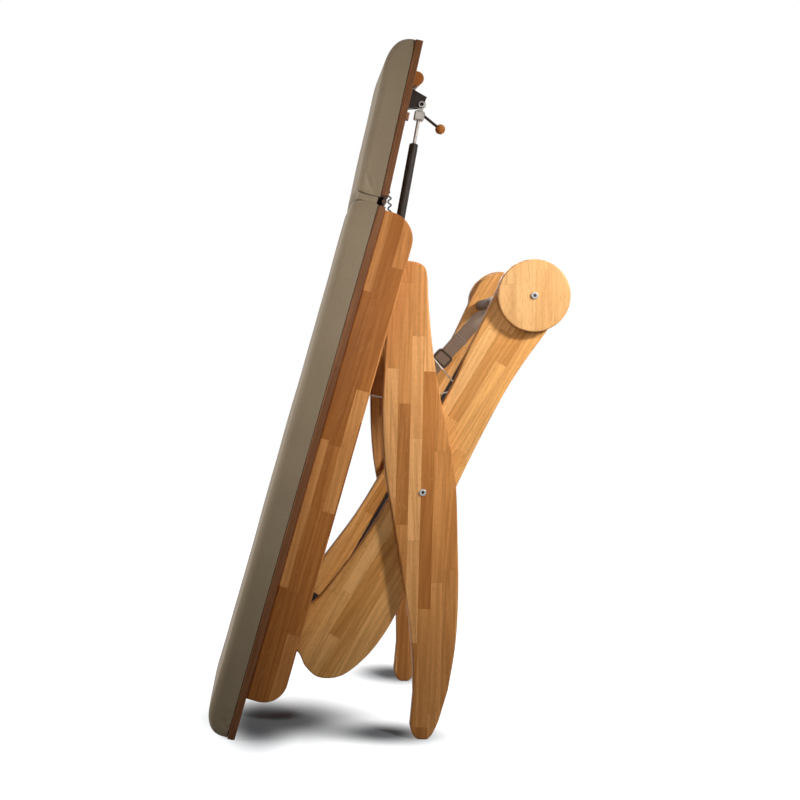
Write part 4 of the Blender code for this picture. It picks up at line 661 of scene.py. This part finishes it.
heights = np.concatenate([[lever["reach"] + lever["seatGap"], ballStart + lever["seatGap"]],
                          ballStart + lever["ballRadius"] * (1.0 - np.cos(turn))])[:, None]
spin = 2.0 * math.pi * np.arange(lever["columns"]) / lever["columns"]
ballPoints = np.stack([radii * np.cos(spin), radii * np.sin(spin),
                       np.broadcast_to(heights, (len(heights), len(spin)))], axis=-1)
attach(meshFromGrid("leverBall", toWorld(ballPoints, leverPlace), ballPoints, oak),
       "lever", "oiled_oak", "lever_ball")
print("small wood made")


# cushions: rings across the lounger, one after another along it

# waves: rate along, rate across and share of the seed
padShape = {"edge": 0.0020, "endRows": 14, "cornerShare": 0.72, "capShrink": (0.12, 0.45, 0.75, 0.93),
            "softStart": 0.006, "softRise": 0.012, "sideBand": 0.020, "topShare": 0.55, "topRise": 0.01,
            "wander": 0.0007, "slowWave": (9.1, 6.3, 1.0), "crossWave": (0.0, 11.7, 1.3),
            "fastWave": (23.0, -17.0, 2.1), "fastShare": 0.6, "pucker": 0.0007, "puckerPitch": 0.058,
            "puckerUp": 0.008, "puckerWidth": 0.014, "sharp": 75.0,
            "samples": (5, 9, 11, 27)}  # points on the lower edge, side, corner and half top


def cushionRing(width, height, corner, crown, drawn):
    # half profile: rounded lower edge, drawn-in side, corner arc, crowned top; then mirrored
    edge = padShape["edge"]
    edgeCount, sideCount, cornerCount, topCount = padShape["samples"]
    lower = arcPoints((width - edge, edge), edge, -90, 0, edgeCount)
    rise = np.linspace(0.0, 1.0, sideCount)[1:-1]
    side = np.stack([width - drawn * np.sin(math.pi * rise), edge + (height - corner - edge) * rise], axis=-1)
    bend = arcPoints((width - corner, height - corner), corner, 0, 90, cornerCount)
    reach = np.linspace(1.0, 0.0, topCount)[1:-1]
    top = np.stack([(width - corner) * reach, height + crown * (1.0 - reach ** 2)], axis=-1)
    half = np.concatenate([lower, side, bend, top])
    return np.concatenate([half, [(0.0, height + crown)], half[::-1] * (-1.0, 1.0)])


def foldField(along, up, folds):  # each fold is a narrow furrow: depth exp(-(d/width)^2) exp(-(l/length)^2)
    total = np.zeros_like(along)
    for centreAlong, centreUp, degrees, length, width, depth in folds:
        cosF = math.cos(math.radians(degrees))
        sinF = math.sin(math.radians(degrees))
        run = (along - centreAlong) * cosF + (up - centreUp) * sinF
        off = (up - centreUp) * cosF - (along - centreAlong) * sinF
        total += depth * np.exp(-(off / width) ** 2 - (run / length) ** 2)
    return total


def shareOver(values, start, rise):  # 0 up to the start, then up to 1 over the rise
    return np.clip((values - start) / rise, 0.0, 1.0)


def endCap(ring, shrink):  # the end ring drawn together towards half its height
    cap = ring * shrink[:, None, None]
    cap[..., 1] += 0.5 * ring[..., 1].max() * (1.0 - shrink)[:, None]
    return cap


def makeCushion(name, pad, place, base):
    # height and width swell by sin q over each end's quarter turn; then folds, puckers and waves
    quarter = np.linspace(0.0, math.pi / 2, padShape["endRows"], endpoint=False)
    middle = pad["length"] - pad["lowRound"] - pad["highRound"]
    along = np.concatenate([pad["lowRound"] * (1.0 - np.cos(quarter)),
                            pad["lowRound"] + middle * np.linspace(0.0, 1.0, pad["rows"]),
                            pad["length"] - pad["highRound"] * (1.0 - np.cos(quarter[::-1]))])
    full = np.concatenate([np.sin(quarter), np.ones(pad["rows"]), np.sin(quarter[::-1])])
    face = np.repeat((pad["lowFace"], pad["highFace"]), (len(quarter) + pad["rows"], len(quarter)))
    height = face + (pad["height"] - face) * full
    corner = np.minimum(pad["corner"], padShape["cornerShare"] * height)
    plan = np.where(along < 0.5 * pad["length"], pad["lowPlan"], pad["highPlan"])
    width = (boards["halfWidth"] - plan * (1.0 - full)
             - pad["longPull"] * np.sin(math.pi * along / pad["length"]))
    rings = np.stack([cushionRing(*values) for values in
                      zip(width, height, corner, pad["crown"] * full, pad["sidePull"] * full)])
    shrink = np.array(padShape["capShrink"])
    rings = np.concatenate([endCap(rings[0], shrink), rings, endCap(rings[-1], shrink[::-1])])
    along = np.pad(along, len(shrink), "edge")[:, None] + np.zeros(rings.shape[:2])
    across = rings[..., 0].copy()
    up = rings[..., 1].copy()
    soft = shareOver(up, padShape["softStart"], padShape["softRise"])
    onSide = shareOver(np.abs(across), boards["halfWidth"] - padShape["sideBand"], padShape["softRise"])
    onTop = shareOver(up, padShape["topShare"] * pad["height"], padShape["topRise"])
    slow, cross, fast = (np.sin(along * wave[0] + across * wave[1] + pad["seed"] * wave[2])
                         for wave in (padShape["slowWave"], padShape["crossWave"], padShape["fastWave"]))
    wander = slow * cross + padShape["fastShare"] * fast
    ripple = 0.5 + 0.5 * np.sin(along * 2.0 * math.pi / padShape["puckerPitch"] + pad["seed"])
    puckers = padShape["pucker"] * ripple * np.exp(
        -(up - padShape["puckerUp"]) ** 2 / padShape["puckerWidth"] ** 2)
    furrow = foldField(along, up, pad["folds"]) * onSide
    furrow += foldField(along, np.abs(across), pad["topFolds"]) * onTop
    across -= np.sign(across) * (furrow + puckers) * onSide
    up += soft * (padShape["wander"] * wander) - furrow * (1.0 - onSide) * soft
    points = np.stack([base - up, across, pad["start"] + along], axis=-1)
    return meshFromGrid(name, toWorld(points, place), np.stack([along, across, up], axis=-1), cover,
                        sharp=padShape["sharp"], shifted=False)


# folds: place along, place up or across, degrees, length, width and depth
mainPad = {
    "start": 0.0, "length": 1.495, "height": 0.069, "crown": 0.006, "corner": 0.018, "sidePull": 0.0015,
    "longPull": 0.002, "lowFace": 0.028, "lowRound": 0.075, "highFace": 0.046, "highRound": 0.014,
    "lowPlan": 0.009, "highPlan": 0.002, "rows": 120, "seed": 0.7,
    "folds": [(0.030, 0.014, 62.0, 0.012, 0.0030, 0.0040), (0.041, 0.016, 70.0, 0.013, 0.0030, 0.0040),
              (0.053, 0.015, 78.0, 0.012, 0.0032, 0.0034), (0.068, 0.013, 84.0, 0.010, 0.0034, 0.0026),
              (1.474, 0.048, -52.0, 0.016, 0.0040, 0.0030), (1.458, 0.020, -75.0, 0.012, 0.0030, 0.0012)],
    "topFolds": [(0.060, 0.262, 40.0, 0.030, 0.006, 0.0016), (1.462, 0.250, -40.0, 0.030, 0.006, 0.0016)]}
headPad = dict(
    mainPad, start=0.010, length=0.436, longPull=0.001, lowFace=0.046, lowRound=0.014, highFace=0.017,
    highRound=0.088, lowPlan=0.002, highPlan=0.009, rows=60, seed=2.9,
    folds=[(0.030, 0.038, 30.0, 0.018, 0.0045, 0.0040), (0.022, 0.020, 8.0, 0.020, 0.0060, 0.0022),
           (0.044, 0.046, 38.0, 0.012, 0.0036, 0.0022)],
    topFolds=[(0.036, 0.240, 42.0, 0.032, 0.007, 0.0020)])
headBase = -hinge["depth"] - gap
for name, pad, place, base, body, node in (
        ("mainCushion", mainPad, panelPlace, -gap, "frame", "main_cushion"),
        ("headCushion", headPad, headPlace, headBase, "head_panel", "head_cushion")):
    cushion = makeCushion(name, pad, place, base)
    smoother = cushion.modifiers.new("softer", "SUBSURF")
    smoother.levels = 1
    smoother.render_levels = 1
    attach(cushion, body, "taupe_leatherette", node)

# waves: depth, rate and phase
crease = {"reach": 0.3148, "low": 0.006, "clear": 0.0007, "dip": 0.004, "rows": 90, "steps": 9, "bend": 48.0,
          "edgePoints": 6, "waves": ((0.0012, 31.0, 0.0), (0.0008, 87.0, 1.1))}


def creaseEdge(pad, end, place, base):  # up the pad's end face, then back over it by round (1 - cos q)
    face = pad[end + "Face"]
    count = crease["edgePoints"]
    bend = np.radians(np.linspace(0.0, crease["bend"], count))
    rise = face + (pad["height"] - face) * np.sin(bend)
    up = np.concatenate([np.linspace(crease["low"], face, count)[:-1], rise])
    back = np.concatenate([np.zeros(count - 1), pad[end + "Round"] * (1.0 - np.cos(bend))]) - crease["clear"]
    along = pad["length"] - back if end == "high" else back
    return toWorld(np.stack([base - up, np.zeros_like(up), pad["start"] + along], axis=-1), place)


mainSide = creaseEdge(mainPad, "high", panelPlace, -gap)
headSide = creaseEdge(headPad, "low", headPlace, headBase)
share = np.linspace(0.0, 1.0, crease["steps"])[1:-1, None]
inward = toWorld((1.0, 0.0, 0.0), panelPlace) - toWorld((0.0, 0.0, 0.0), panelPlace)
topSide = (mainSide[-1] + (headSide[-1] - mainSide[-1]) * share
           + inward * crease["dip"] * np.sin(math.pi * share))
lowSide = headSide[0] + (mainSide[0] - headSide[0]) * share
section = np.concatenate([mainSide, topSide, headSide[::-1], lowSide])
spread = np.linspace(-crease["reach"], crease["reach"], crease["rows"])
gusset = np.repeat(section[None], crease["rows"], axis=0)
gusset[..., 1] = spread[:, None]
sink = sum(depth * np.sin(spread * rate + phase) for depth, rate, phase in crease["waves"])
onTop = np.zeros(len(section))
onTop[len(mainSide):len(mainSide) + len(topSide)] = 1.0
gusset += inward * (sink[:, None] * onTop)[..., None]
gussetGrain = gusset[..., ::-1].copy()
# the crease piece takes the pad's full height, so it gets no painted shade
gussetGrain[..., 2] = mainPad["height"]
creaseFold = meshFromGrid("creaseFold", gusset, gussetGrain, cover, shifted=False)
bridge(creaseFold, "frame", "head_panel", mainSide[-1], headSide[-1], "taupe_leatherette")
print("cushions made")


# strap, slide, lines and curly lead

def pathFrame(path):  # normal square to the path and to y, side square to both, and distance run
    run = unit(np.gradient(path, axis=0))
    normal = unit(np.cross(run, yAxis))
    distance = np.concatenate([[0.0], np.cumsum(np.linalg.norm(np.diff(path, axis=0), axis=1))])
    return normal, np.cross(normal, run), distance


def bandAlong(name, path, turns, width, thickness, finish, edgeCount=5, flatCount=9):
    # rounded band: a flat stadium carried along the path; turn 0 lays its width along y
    normal, side, distance = pathFrame(path)
    cosT = np.cos(turns)[:, None]
    sinT = np.sin(turns)[:, None]
    half = thickness / 2
    right = arcPoints((width / 2 - half, 0.0), half, -90.0, 90.0, edgeCount)
    flat = np.linspace(width / 2 - half, half - width / 2, flatCount)[1:-1]
    upper = np.stack([flat, np.full_like(flat, half)], axis=-1)
    section = np.concatenate([right, upper, -right, -upper])
    points = (path[:, None] + (side * cosT + normal * sinT)[:, None] * section[:, :1]
              + (normal * cosT - side * sinT)[:, None] * section[:, 1:])
    grain = np.empty_like(points)
    grain[..., 0] = distance[:, None]
    grain[..., 1:] = section
    return meshFromGrid(name, points, grain, finish)


def tubeAlong(name, path, radius, finish, count=10, pitch=1.0, strands=0, swell=0.0):
    # circle carried along the path; radius (1 + swell cos(strands a - 2 pi d / pitch)) winds like a laid line
    normal, side, distance = pathFrame(path)
    angle = 2.0 * math.pi * np.arange(count) / count
    laid = radius * (1.0 + swell * np.cos(strands * angle - 2.0 * math.pi / pitch * distance[:, None]))
    spoke = side[:, None] * np.sin(angle)[:, None] - normal[:, None] * np.cos(angle)[:, None]
    grain = np.zeros(spoke.shape)
    grain[..., 0] = distance[:, None]
    grain[..., 1] = angle * radius
    return meshFromGrid(name, path[:, None] + spoke * laid[..., None], grain, finish)


strap = {"width": 0.040, "thickness": 0.0025, "twist": 0.052, "bar": (0.008, 1.085), "barRadius": 0.017,
         "rod": (-0.060, 0.2035), "rodRadius": 0.007, "rounding": 0.001, "foldLift": 0.0029,
         "foldInset": 0.001, "foldShort": 0.004, "slideRoom": 0.006,
         "twistPoints": 40, "flatPoints": 60}
barX, barZ = spotIn(innerPlace, *strap["bar"])
rodX, rodZ = spotIn(outerPlace, *strap["rod"])
barCentre = np.array([barX, 0.0, barZ])
rodCentre = np.array([rodX, 0.0, rodZ])
strapReach = float(np.linalg.norm(rodCentre - barCentre))
strapRun = (rodCentre - barCentre) / strapReach
strapNormal = np.cross(strapRun, yAxis)
strapStart = strap["barRadius"] + strap["thickness"] + 2.0 * gap
strapStop = strapReach - strap["rodRadius"] - strap["thickness"] - 2.0 * gap
slides = {  # start, length, half depth and bar of the slide and of the wire ring round the strap
    "strapBuckle": (0.185, 0.034, 0.0042, 0.0040, slideTaupe),
    "strapWireRing": (0.118, 0.010, 0.0058, 0.0014, paleLine)}
slideWidth = strap["width"] + strap["slideRoom"]
flatFrom = strapStart + strap["twist"]
flatTo = strapStop - strap["twist"]
travel = np.concatenate([np.linspace(strapStart, flatFrom, strap["twistPoints"]),
                         np.linspace(flatFrom, flatTo, strap["flatPoints"])[1:],
                         np.linspace(flatTo, strapStop, strap["twistPoints"])[1:]])
share = np.clip(np.minimum(travel - strapStart, strapStop - travel) / strap["twist"], 0.0, 1.0)
strapTurns = math.pi / 2 * share ** 2 * (3.0 - 2.0 * share)
strapPath = barCentre + travel[:, None] * strapRun
strapBand = bandAlong("strapBand", strapPath, strapTurns, strap["width"], strap["thickness"], webbing)
doubled = travel < strapStart + slides["strapBuckle"][0] - strap["foldShort"]
foldTurns = strapTurns[doubled][:, None]
layerLift = (strapNormal * np.cos(foldTurns) - yAxis * np.sin(foldTurns)) * strap["foldLift"]
strapFold = bandAlong("strapFold", strapPath[doubled] + layerLift, strapTurns[doubled],
                      strap["width"] - strap["foldInset"], strap["thickness"], webbing)
for name, radius, centre, place, body, node in (
        ("strapWrap", strap["barRadius"], strap["bar"], innerPlace, "inner_legs", "strap_loop"),
        ("strapFootWrap", strap["rodRadius"], strap["rod"], outerPlace, "outer_legs", "strap_foot_loop")):
    half = strap["width"] / 2
    rim = roundedProfile(radius + gap + strap["thickness"], -half, half, strap["rounding"])
    inside = [(radius + gap, half), (radius + gap, -half)]
    wrap = turnedPiece(name, np.concatenate([rim, inside]), centre, place, webbing, count=64, ring=True)
    attach(wrap, body, "grey_webbing", node)


def slideFrame(name, start, length, depth, bar, finish, corner=0.28, step=9.0, count=10):
    # window round the strap: an oval bar carried round |cos|^corner, |sin|^corner in the strap's plane
    angle = np.radians(np.arange(0, 360, step))
    circle = np.stack([np.cos(angle), np.sin(angle)], axis=-1)
    shape = np.sign(circle) * np.abs(circle) ** corner
    turn = 2.0 * math.pi * np.arange(count) / count
    middle = shape * (length / 2, slideWidth / 2)
    flat = middle[:, None] + unit(shape)[:, None] * (bar * np.cos(turn))[:, None]
    lift = np.broadcast_to(depth * np.sin(turn), flat.shape[:2])
    centre = barCentre + strapRun * (strapStart + start + length / 2)
    points = centre + flat[..., :1] * strapRun - flat[..., 1:] * strapNormal + lift[..., None] * yAxis
    return meshFromGrid(name, points, points, finish, ring=True)


buckle, wireRing = (slideFrame(name, *values) for name, values in slides.items())
for piece, slot, *nodes in ((strapBand, "grey_webbing", "strap"), (strapFold, "grey_webbing"),
                            (buckle, "cast_grey_metal", "strap_buckle"), (wireRing, "pale_cord")):
    bridge(piece, "inner_legs", "outer_legs", barCentre, rodCentre, slot, *nodes)

lines = {"radius": 0.0019, "spread": -0.190, "stem": 0.016, "eyeRadius": 0.008, "postRadius": 0.004,
         "postAlong": 0.809, "postAside": 0.038, "points": 160, "pitch": 0.012, "strands": 3, "swell": 0.06}
lineRuns = {"taut": (1.300, 0.0, "taut"), "slack": (1.000, 0.035, "hanging")}  # eye's place, sag and lay
post = toWorld((lines["postAside"], lines["spread"], lines["postAlong"]), innerPlace)
for kind, (place, sag, lay) in lineRuns.items():  # straight from eye to post, lowered by 4 sag t (1 - t)
    eye = toWorld((underside + lines["stem"], lines["spread"], place), panelPlace)
    drop = np.array([0.0, 0.0, -4.0 * sag])
    start = eye + unit(post - eye + drop) * (lines["eyeRadius"] + gap)
    end = post - unit(post - eye - drop) * (lines["postRadius"] + gap)
    t = np.linspace(0.0, 1.0, lines["points"])[:, None]
    path = start + (end - start) * t + drop * (t * (1.0 - t))
    line = tubeAlong(kind + "Line", path, lines["radius"], paleLine, count=12, pitch=lines["pitch"],
                     strands=lines["strands"], swell=lines["swell"])
    bridge(line, "frame", "inner_legs", path[0], path[-1], "pale_cord", kind + "_line")

curl = {"wire": 0.0021, "radius": 0.0046, "turns": 5, "turnPoints": 28, "spread": -0.055, "headPlace": 0.0815,
        "clipLength": 0.016, "clipDepth": 0.010, "frameDepth": 0.044, "frameFace": 1.4703, "lead": 0.003}
curlTop = headUnder + curl["clipDepth"] / 2
curlFoot = curl["frameDepth"] + curl["clipDepth"] / 2
clipFace = curl["frameFace"] + curl["clipLength"] + gap
curlStart = toWorld((curlTop, curl["spread"], curl["headPlace"] - gap), headPlace)
curlLeave = toWorld((curlTop, curl["spread"], curl["headPlace"] - curl["lead"]), headPlace)
curlArrive = toWorld((curlFoot, curl["spread"], clipFace + curl["lead"]), panelPlace)
curlEnd = toWorld((curlFoot, curl["spread"], clipFace), panelPlace)
curlRun = curlArrive - curlLeave
curlFront = np.cross(unit(curlRun), yAxis)
t = np.linspace(0.0, 1.0, curl["turns"] * curl["turnPoints"] + 1)[1:-1, None]
angle = 2.0 * math.pi * curl["turns"] * t
ease = np.minimum(1.0, np.minimum(t, 1.0 - t) * curl["turns"]) * curl["radius"]  # coil opens over one turn
coil = curlLeave + curlRun * t + yAxis * (np.sin(angle) * ease) + curlFront * ((1.0 - np.cos(angle)) * ease)
curlPath = np.concatenate([[curlStart, curlLeave], coil, [curlArrive, curlEnd]])
curly = tubeAlong("curlyLead", curlPath, curl["wire"], darkWire)
bridge(curly, "frame", "head_panel", curlEnd, curlStart, "black_cord", "curly_cord")
print("strap, lines and lead made")


# finishes of the CAD pieces that stay

nodeFinish = {
    blackSteel: ["brace_bar_left", "brace_bar_right", "pivot_plate_left", "pivot_plate_right",
                 "gas_spring_foot_bracket", "gas_spring_head_bracket", "gas_spring_cylinder",
                 "gas_spring_gland", "release_lever", "strap_rod", "curl_clip_head", "curl_clip_frame"],
    bronzeHinge: ["head_hinge_main_leaf", "head_hinge_head_leaf", "head_hinge_pin"],
    brightSteel: ["leg_axle", "gas_spring_foot_pin", "lever_pin", "line_post", "taut_line_eye",
                  "slack_line_eye"],
    rodSteel: ["gas_spring_rod"], castGrey: ["release_head"], slideTaupe: ["leg_crossbar"],
    brassBush: ["wheel_bush_left", "wheel_bush_right"]}
for finish, names in nodeFinish.items():
    for name in names:
        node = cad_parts[name]
        node.data.materials.clear()
        node.data.materials.append(finish)
print("CAD finishes set")


# stage: floor, soft light and the photo's camera

def seenShare(tree):
    # 1 where the camera looks, straight, mirrored or through glass, 0 for light that only bounces
    path = addNode(tree, "LightPath", {})
    return mathNode(tree, "MAXIMUM", path["Is Camera Ray"],
                    mathNode(tree, "MAXIMUM", path["Is Glossy Ray"], path["Is Transmission Ray"]))


ground = {"reach": 9.0, "level": -0.0004, "colour": (0.20, 0.22, 0.24), "roughness": 0.9,
          "fadeFrom": 0.20, "fadeTo": 1.50,
          "shade": [(0.080, -0.190, 0.09, 0.19), (0.165, -0.140, 0.205, 0.165), (0.43, -0.235, 0.15, 0.085),
                    (0.50, 0.33, 0.12, 0.10)]}  # soft shade: x and y from the board's foot, two radii
white = (1.0, 1.0, 1.0)
floorMesh = bpy.data.meshes.new("studioFloor")
reach = ground["reach"]
floorLoop = boxLoop(-reach, reach, -reach, reach)
floorMesh.from_pydata([(x, y, ground["level"]) for x, y in floorLoop], [], [(0, 1, 2, 3)])
floor = bpy.data.objects.new("studioFloor", floorMesh)
bpy.context.collection.objects.link(floor)
floorFinish, tree, shader = newFinish("paleStudioFloor")
clear = seenShare(tree)
coords = addNode(tree, "TexCoord", {})["Object"]
for spotX, spotY, radiusX, radiusY in ground["shade"]:
    oval = addNode(tree, "Mapping", {"Vector": coords, "Location": (stance["panelX"] + spotX, spotY, 0.0),
                                     "Scale": (radiusX, radiusY, 1.0)}, vector_type="TEXTURE")[0]
    distance = addNode(tree, "VectorMath", {0: oval}, operation="LENGTH")["Value"]
    fade = addNode(tree, "MapRange", {"Value": distance, "From Min": ground["fadeFrom"],
                                      "From Max": ground["fadeTo"]}, interpolation_type="SMOOTHSTEP")[0]
    clear = times(tree, clear, fade)
feed(tree, shader, {"Base Color": ground["colour"], "Roughness": ground["roughness"],
                    "Specular IOR Level": 0.0, "Emission Color": white, "Emission Strength": clear})
floorMesh.materials.append(floorFinish)

world = bpy.data.worlds.new("studioWorld")
bpy.context.scene.world = world
world.use_nodes = True
tree = world.node_tree
glow = 0.05  # what the sky adds to the lamps
feed(tree, tree.nodes["Background"], {
    "Color": white, "Strength": timesPlus(tree, seenShare(tree), 1.0 - glow, glow)})

warmWhite = (1.0, 0.985, 0.96)
softWhite = (1.0, 0.99, 0.98)
lamps = {  # spot, target, size, power, spread in degrees and colour
    "key": ((1.42, -1.38, 1.92), (0.54, -0.25, 1.16), 0.32, 11.8, 94.0, warmWhite),
    "left": ((-2.1, -0.45, 1.6), (-0.1, 0.0, 1.1), 0.9, 30.0, 180.0, softWhite),
    "front": ((-0.05, -2.7, 1.45), (0.28, 0.0, 1.12), 0.6, 1.9, 55.0, softWhite),
    "top": ((0.7, 0.2, 3.6), (0.2, 0.0, 0.8), 1.6, 10.0, 180.0, softWhite),
    "back": ((0.8, 2.6, 1.9), (0.1, 0.0, 1.0), 1.4, 62.0, 180.0, softWhite)}
for name, (spot, target, size, power, spread, colour) in lamps.items():
    lamp = bpy.data.lights.new(name + "Lamp", "AREA")
    lamp.shape = "DISK"
    lamp.size = size
    lamp.energy = power
    lamp.spread = math.radians(spread)
    lamp.color = colour
    holder = bpy.data.objects.new(name + "Lamp", lamp)
    bpy.context.collection.objects.link(holder)
    holder.location = spot
    x, y, z = np.array(target) - np.array(spot)
    holder.rotation_euler = (math.atan2(math.hypot(x, y), -z), 0.0, math.atan2(-x, y))  # faces its target

view = {"focal": 50.0, "sensor": 36.0, "distance": 3.31, "height": 1.068, "aside": 0.171, "roll": 1.5,
        "centreX": 301.0, "centreY": 345.0, "photoSide": 800.0}  # centre and side in pixels
lens = bpy.data.cameras.new("photoCamera")
lens.sensor_width = view["sensor"]
lens.lens = view["focal"]
lens.shift_x = 0.5 - view["centreX"] / view["photoSide"]
lens.shift_y = view["centreY"] / view["photoSide"] - 0.5
camera = bpy.data.objects.new("photoCamera", lens)
bpy.context.collection.objects.link(camera)
camera.location = (stance["panelX"] + view["aside"], -view["distance"], view["height"])
camera.rotation_euler = (math.pi / 2, -math.radians(view["roll"]), 0.0)
bpy.context.scene.camera = camera
bpy.context.scene.view_settings.view_transform = "Standard"
print("stage set")
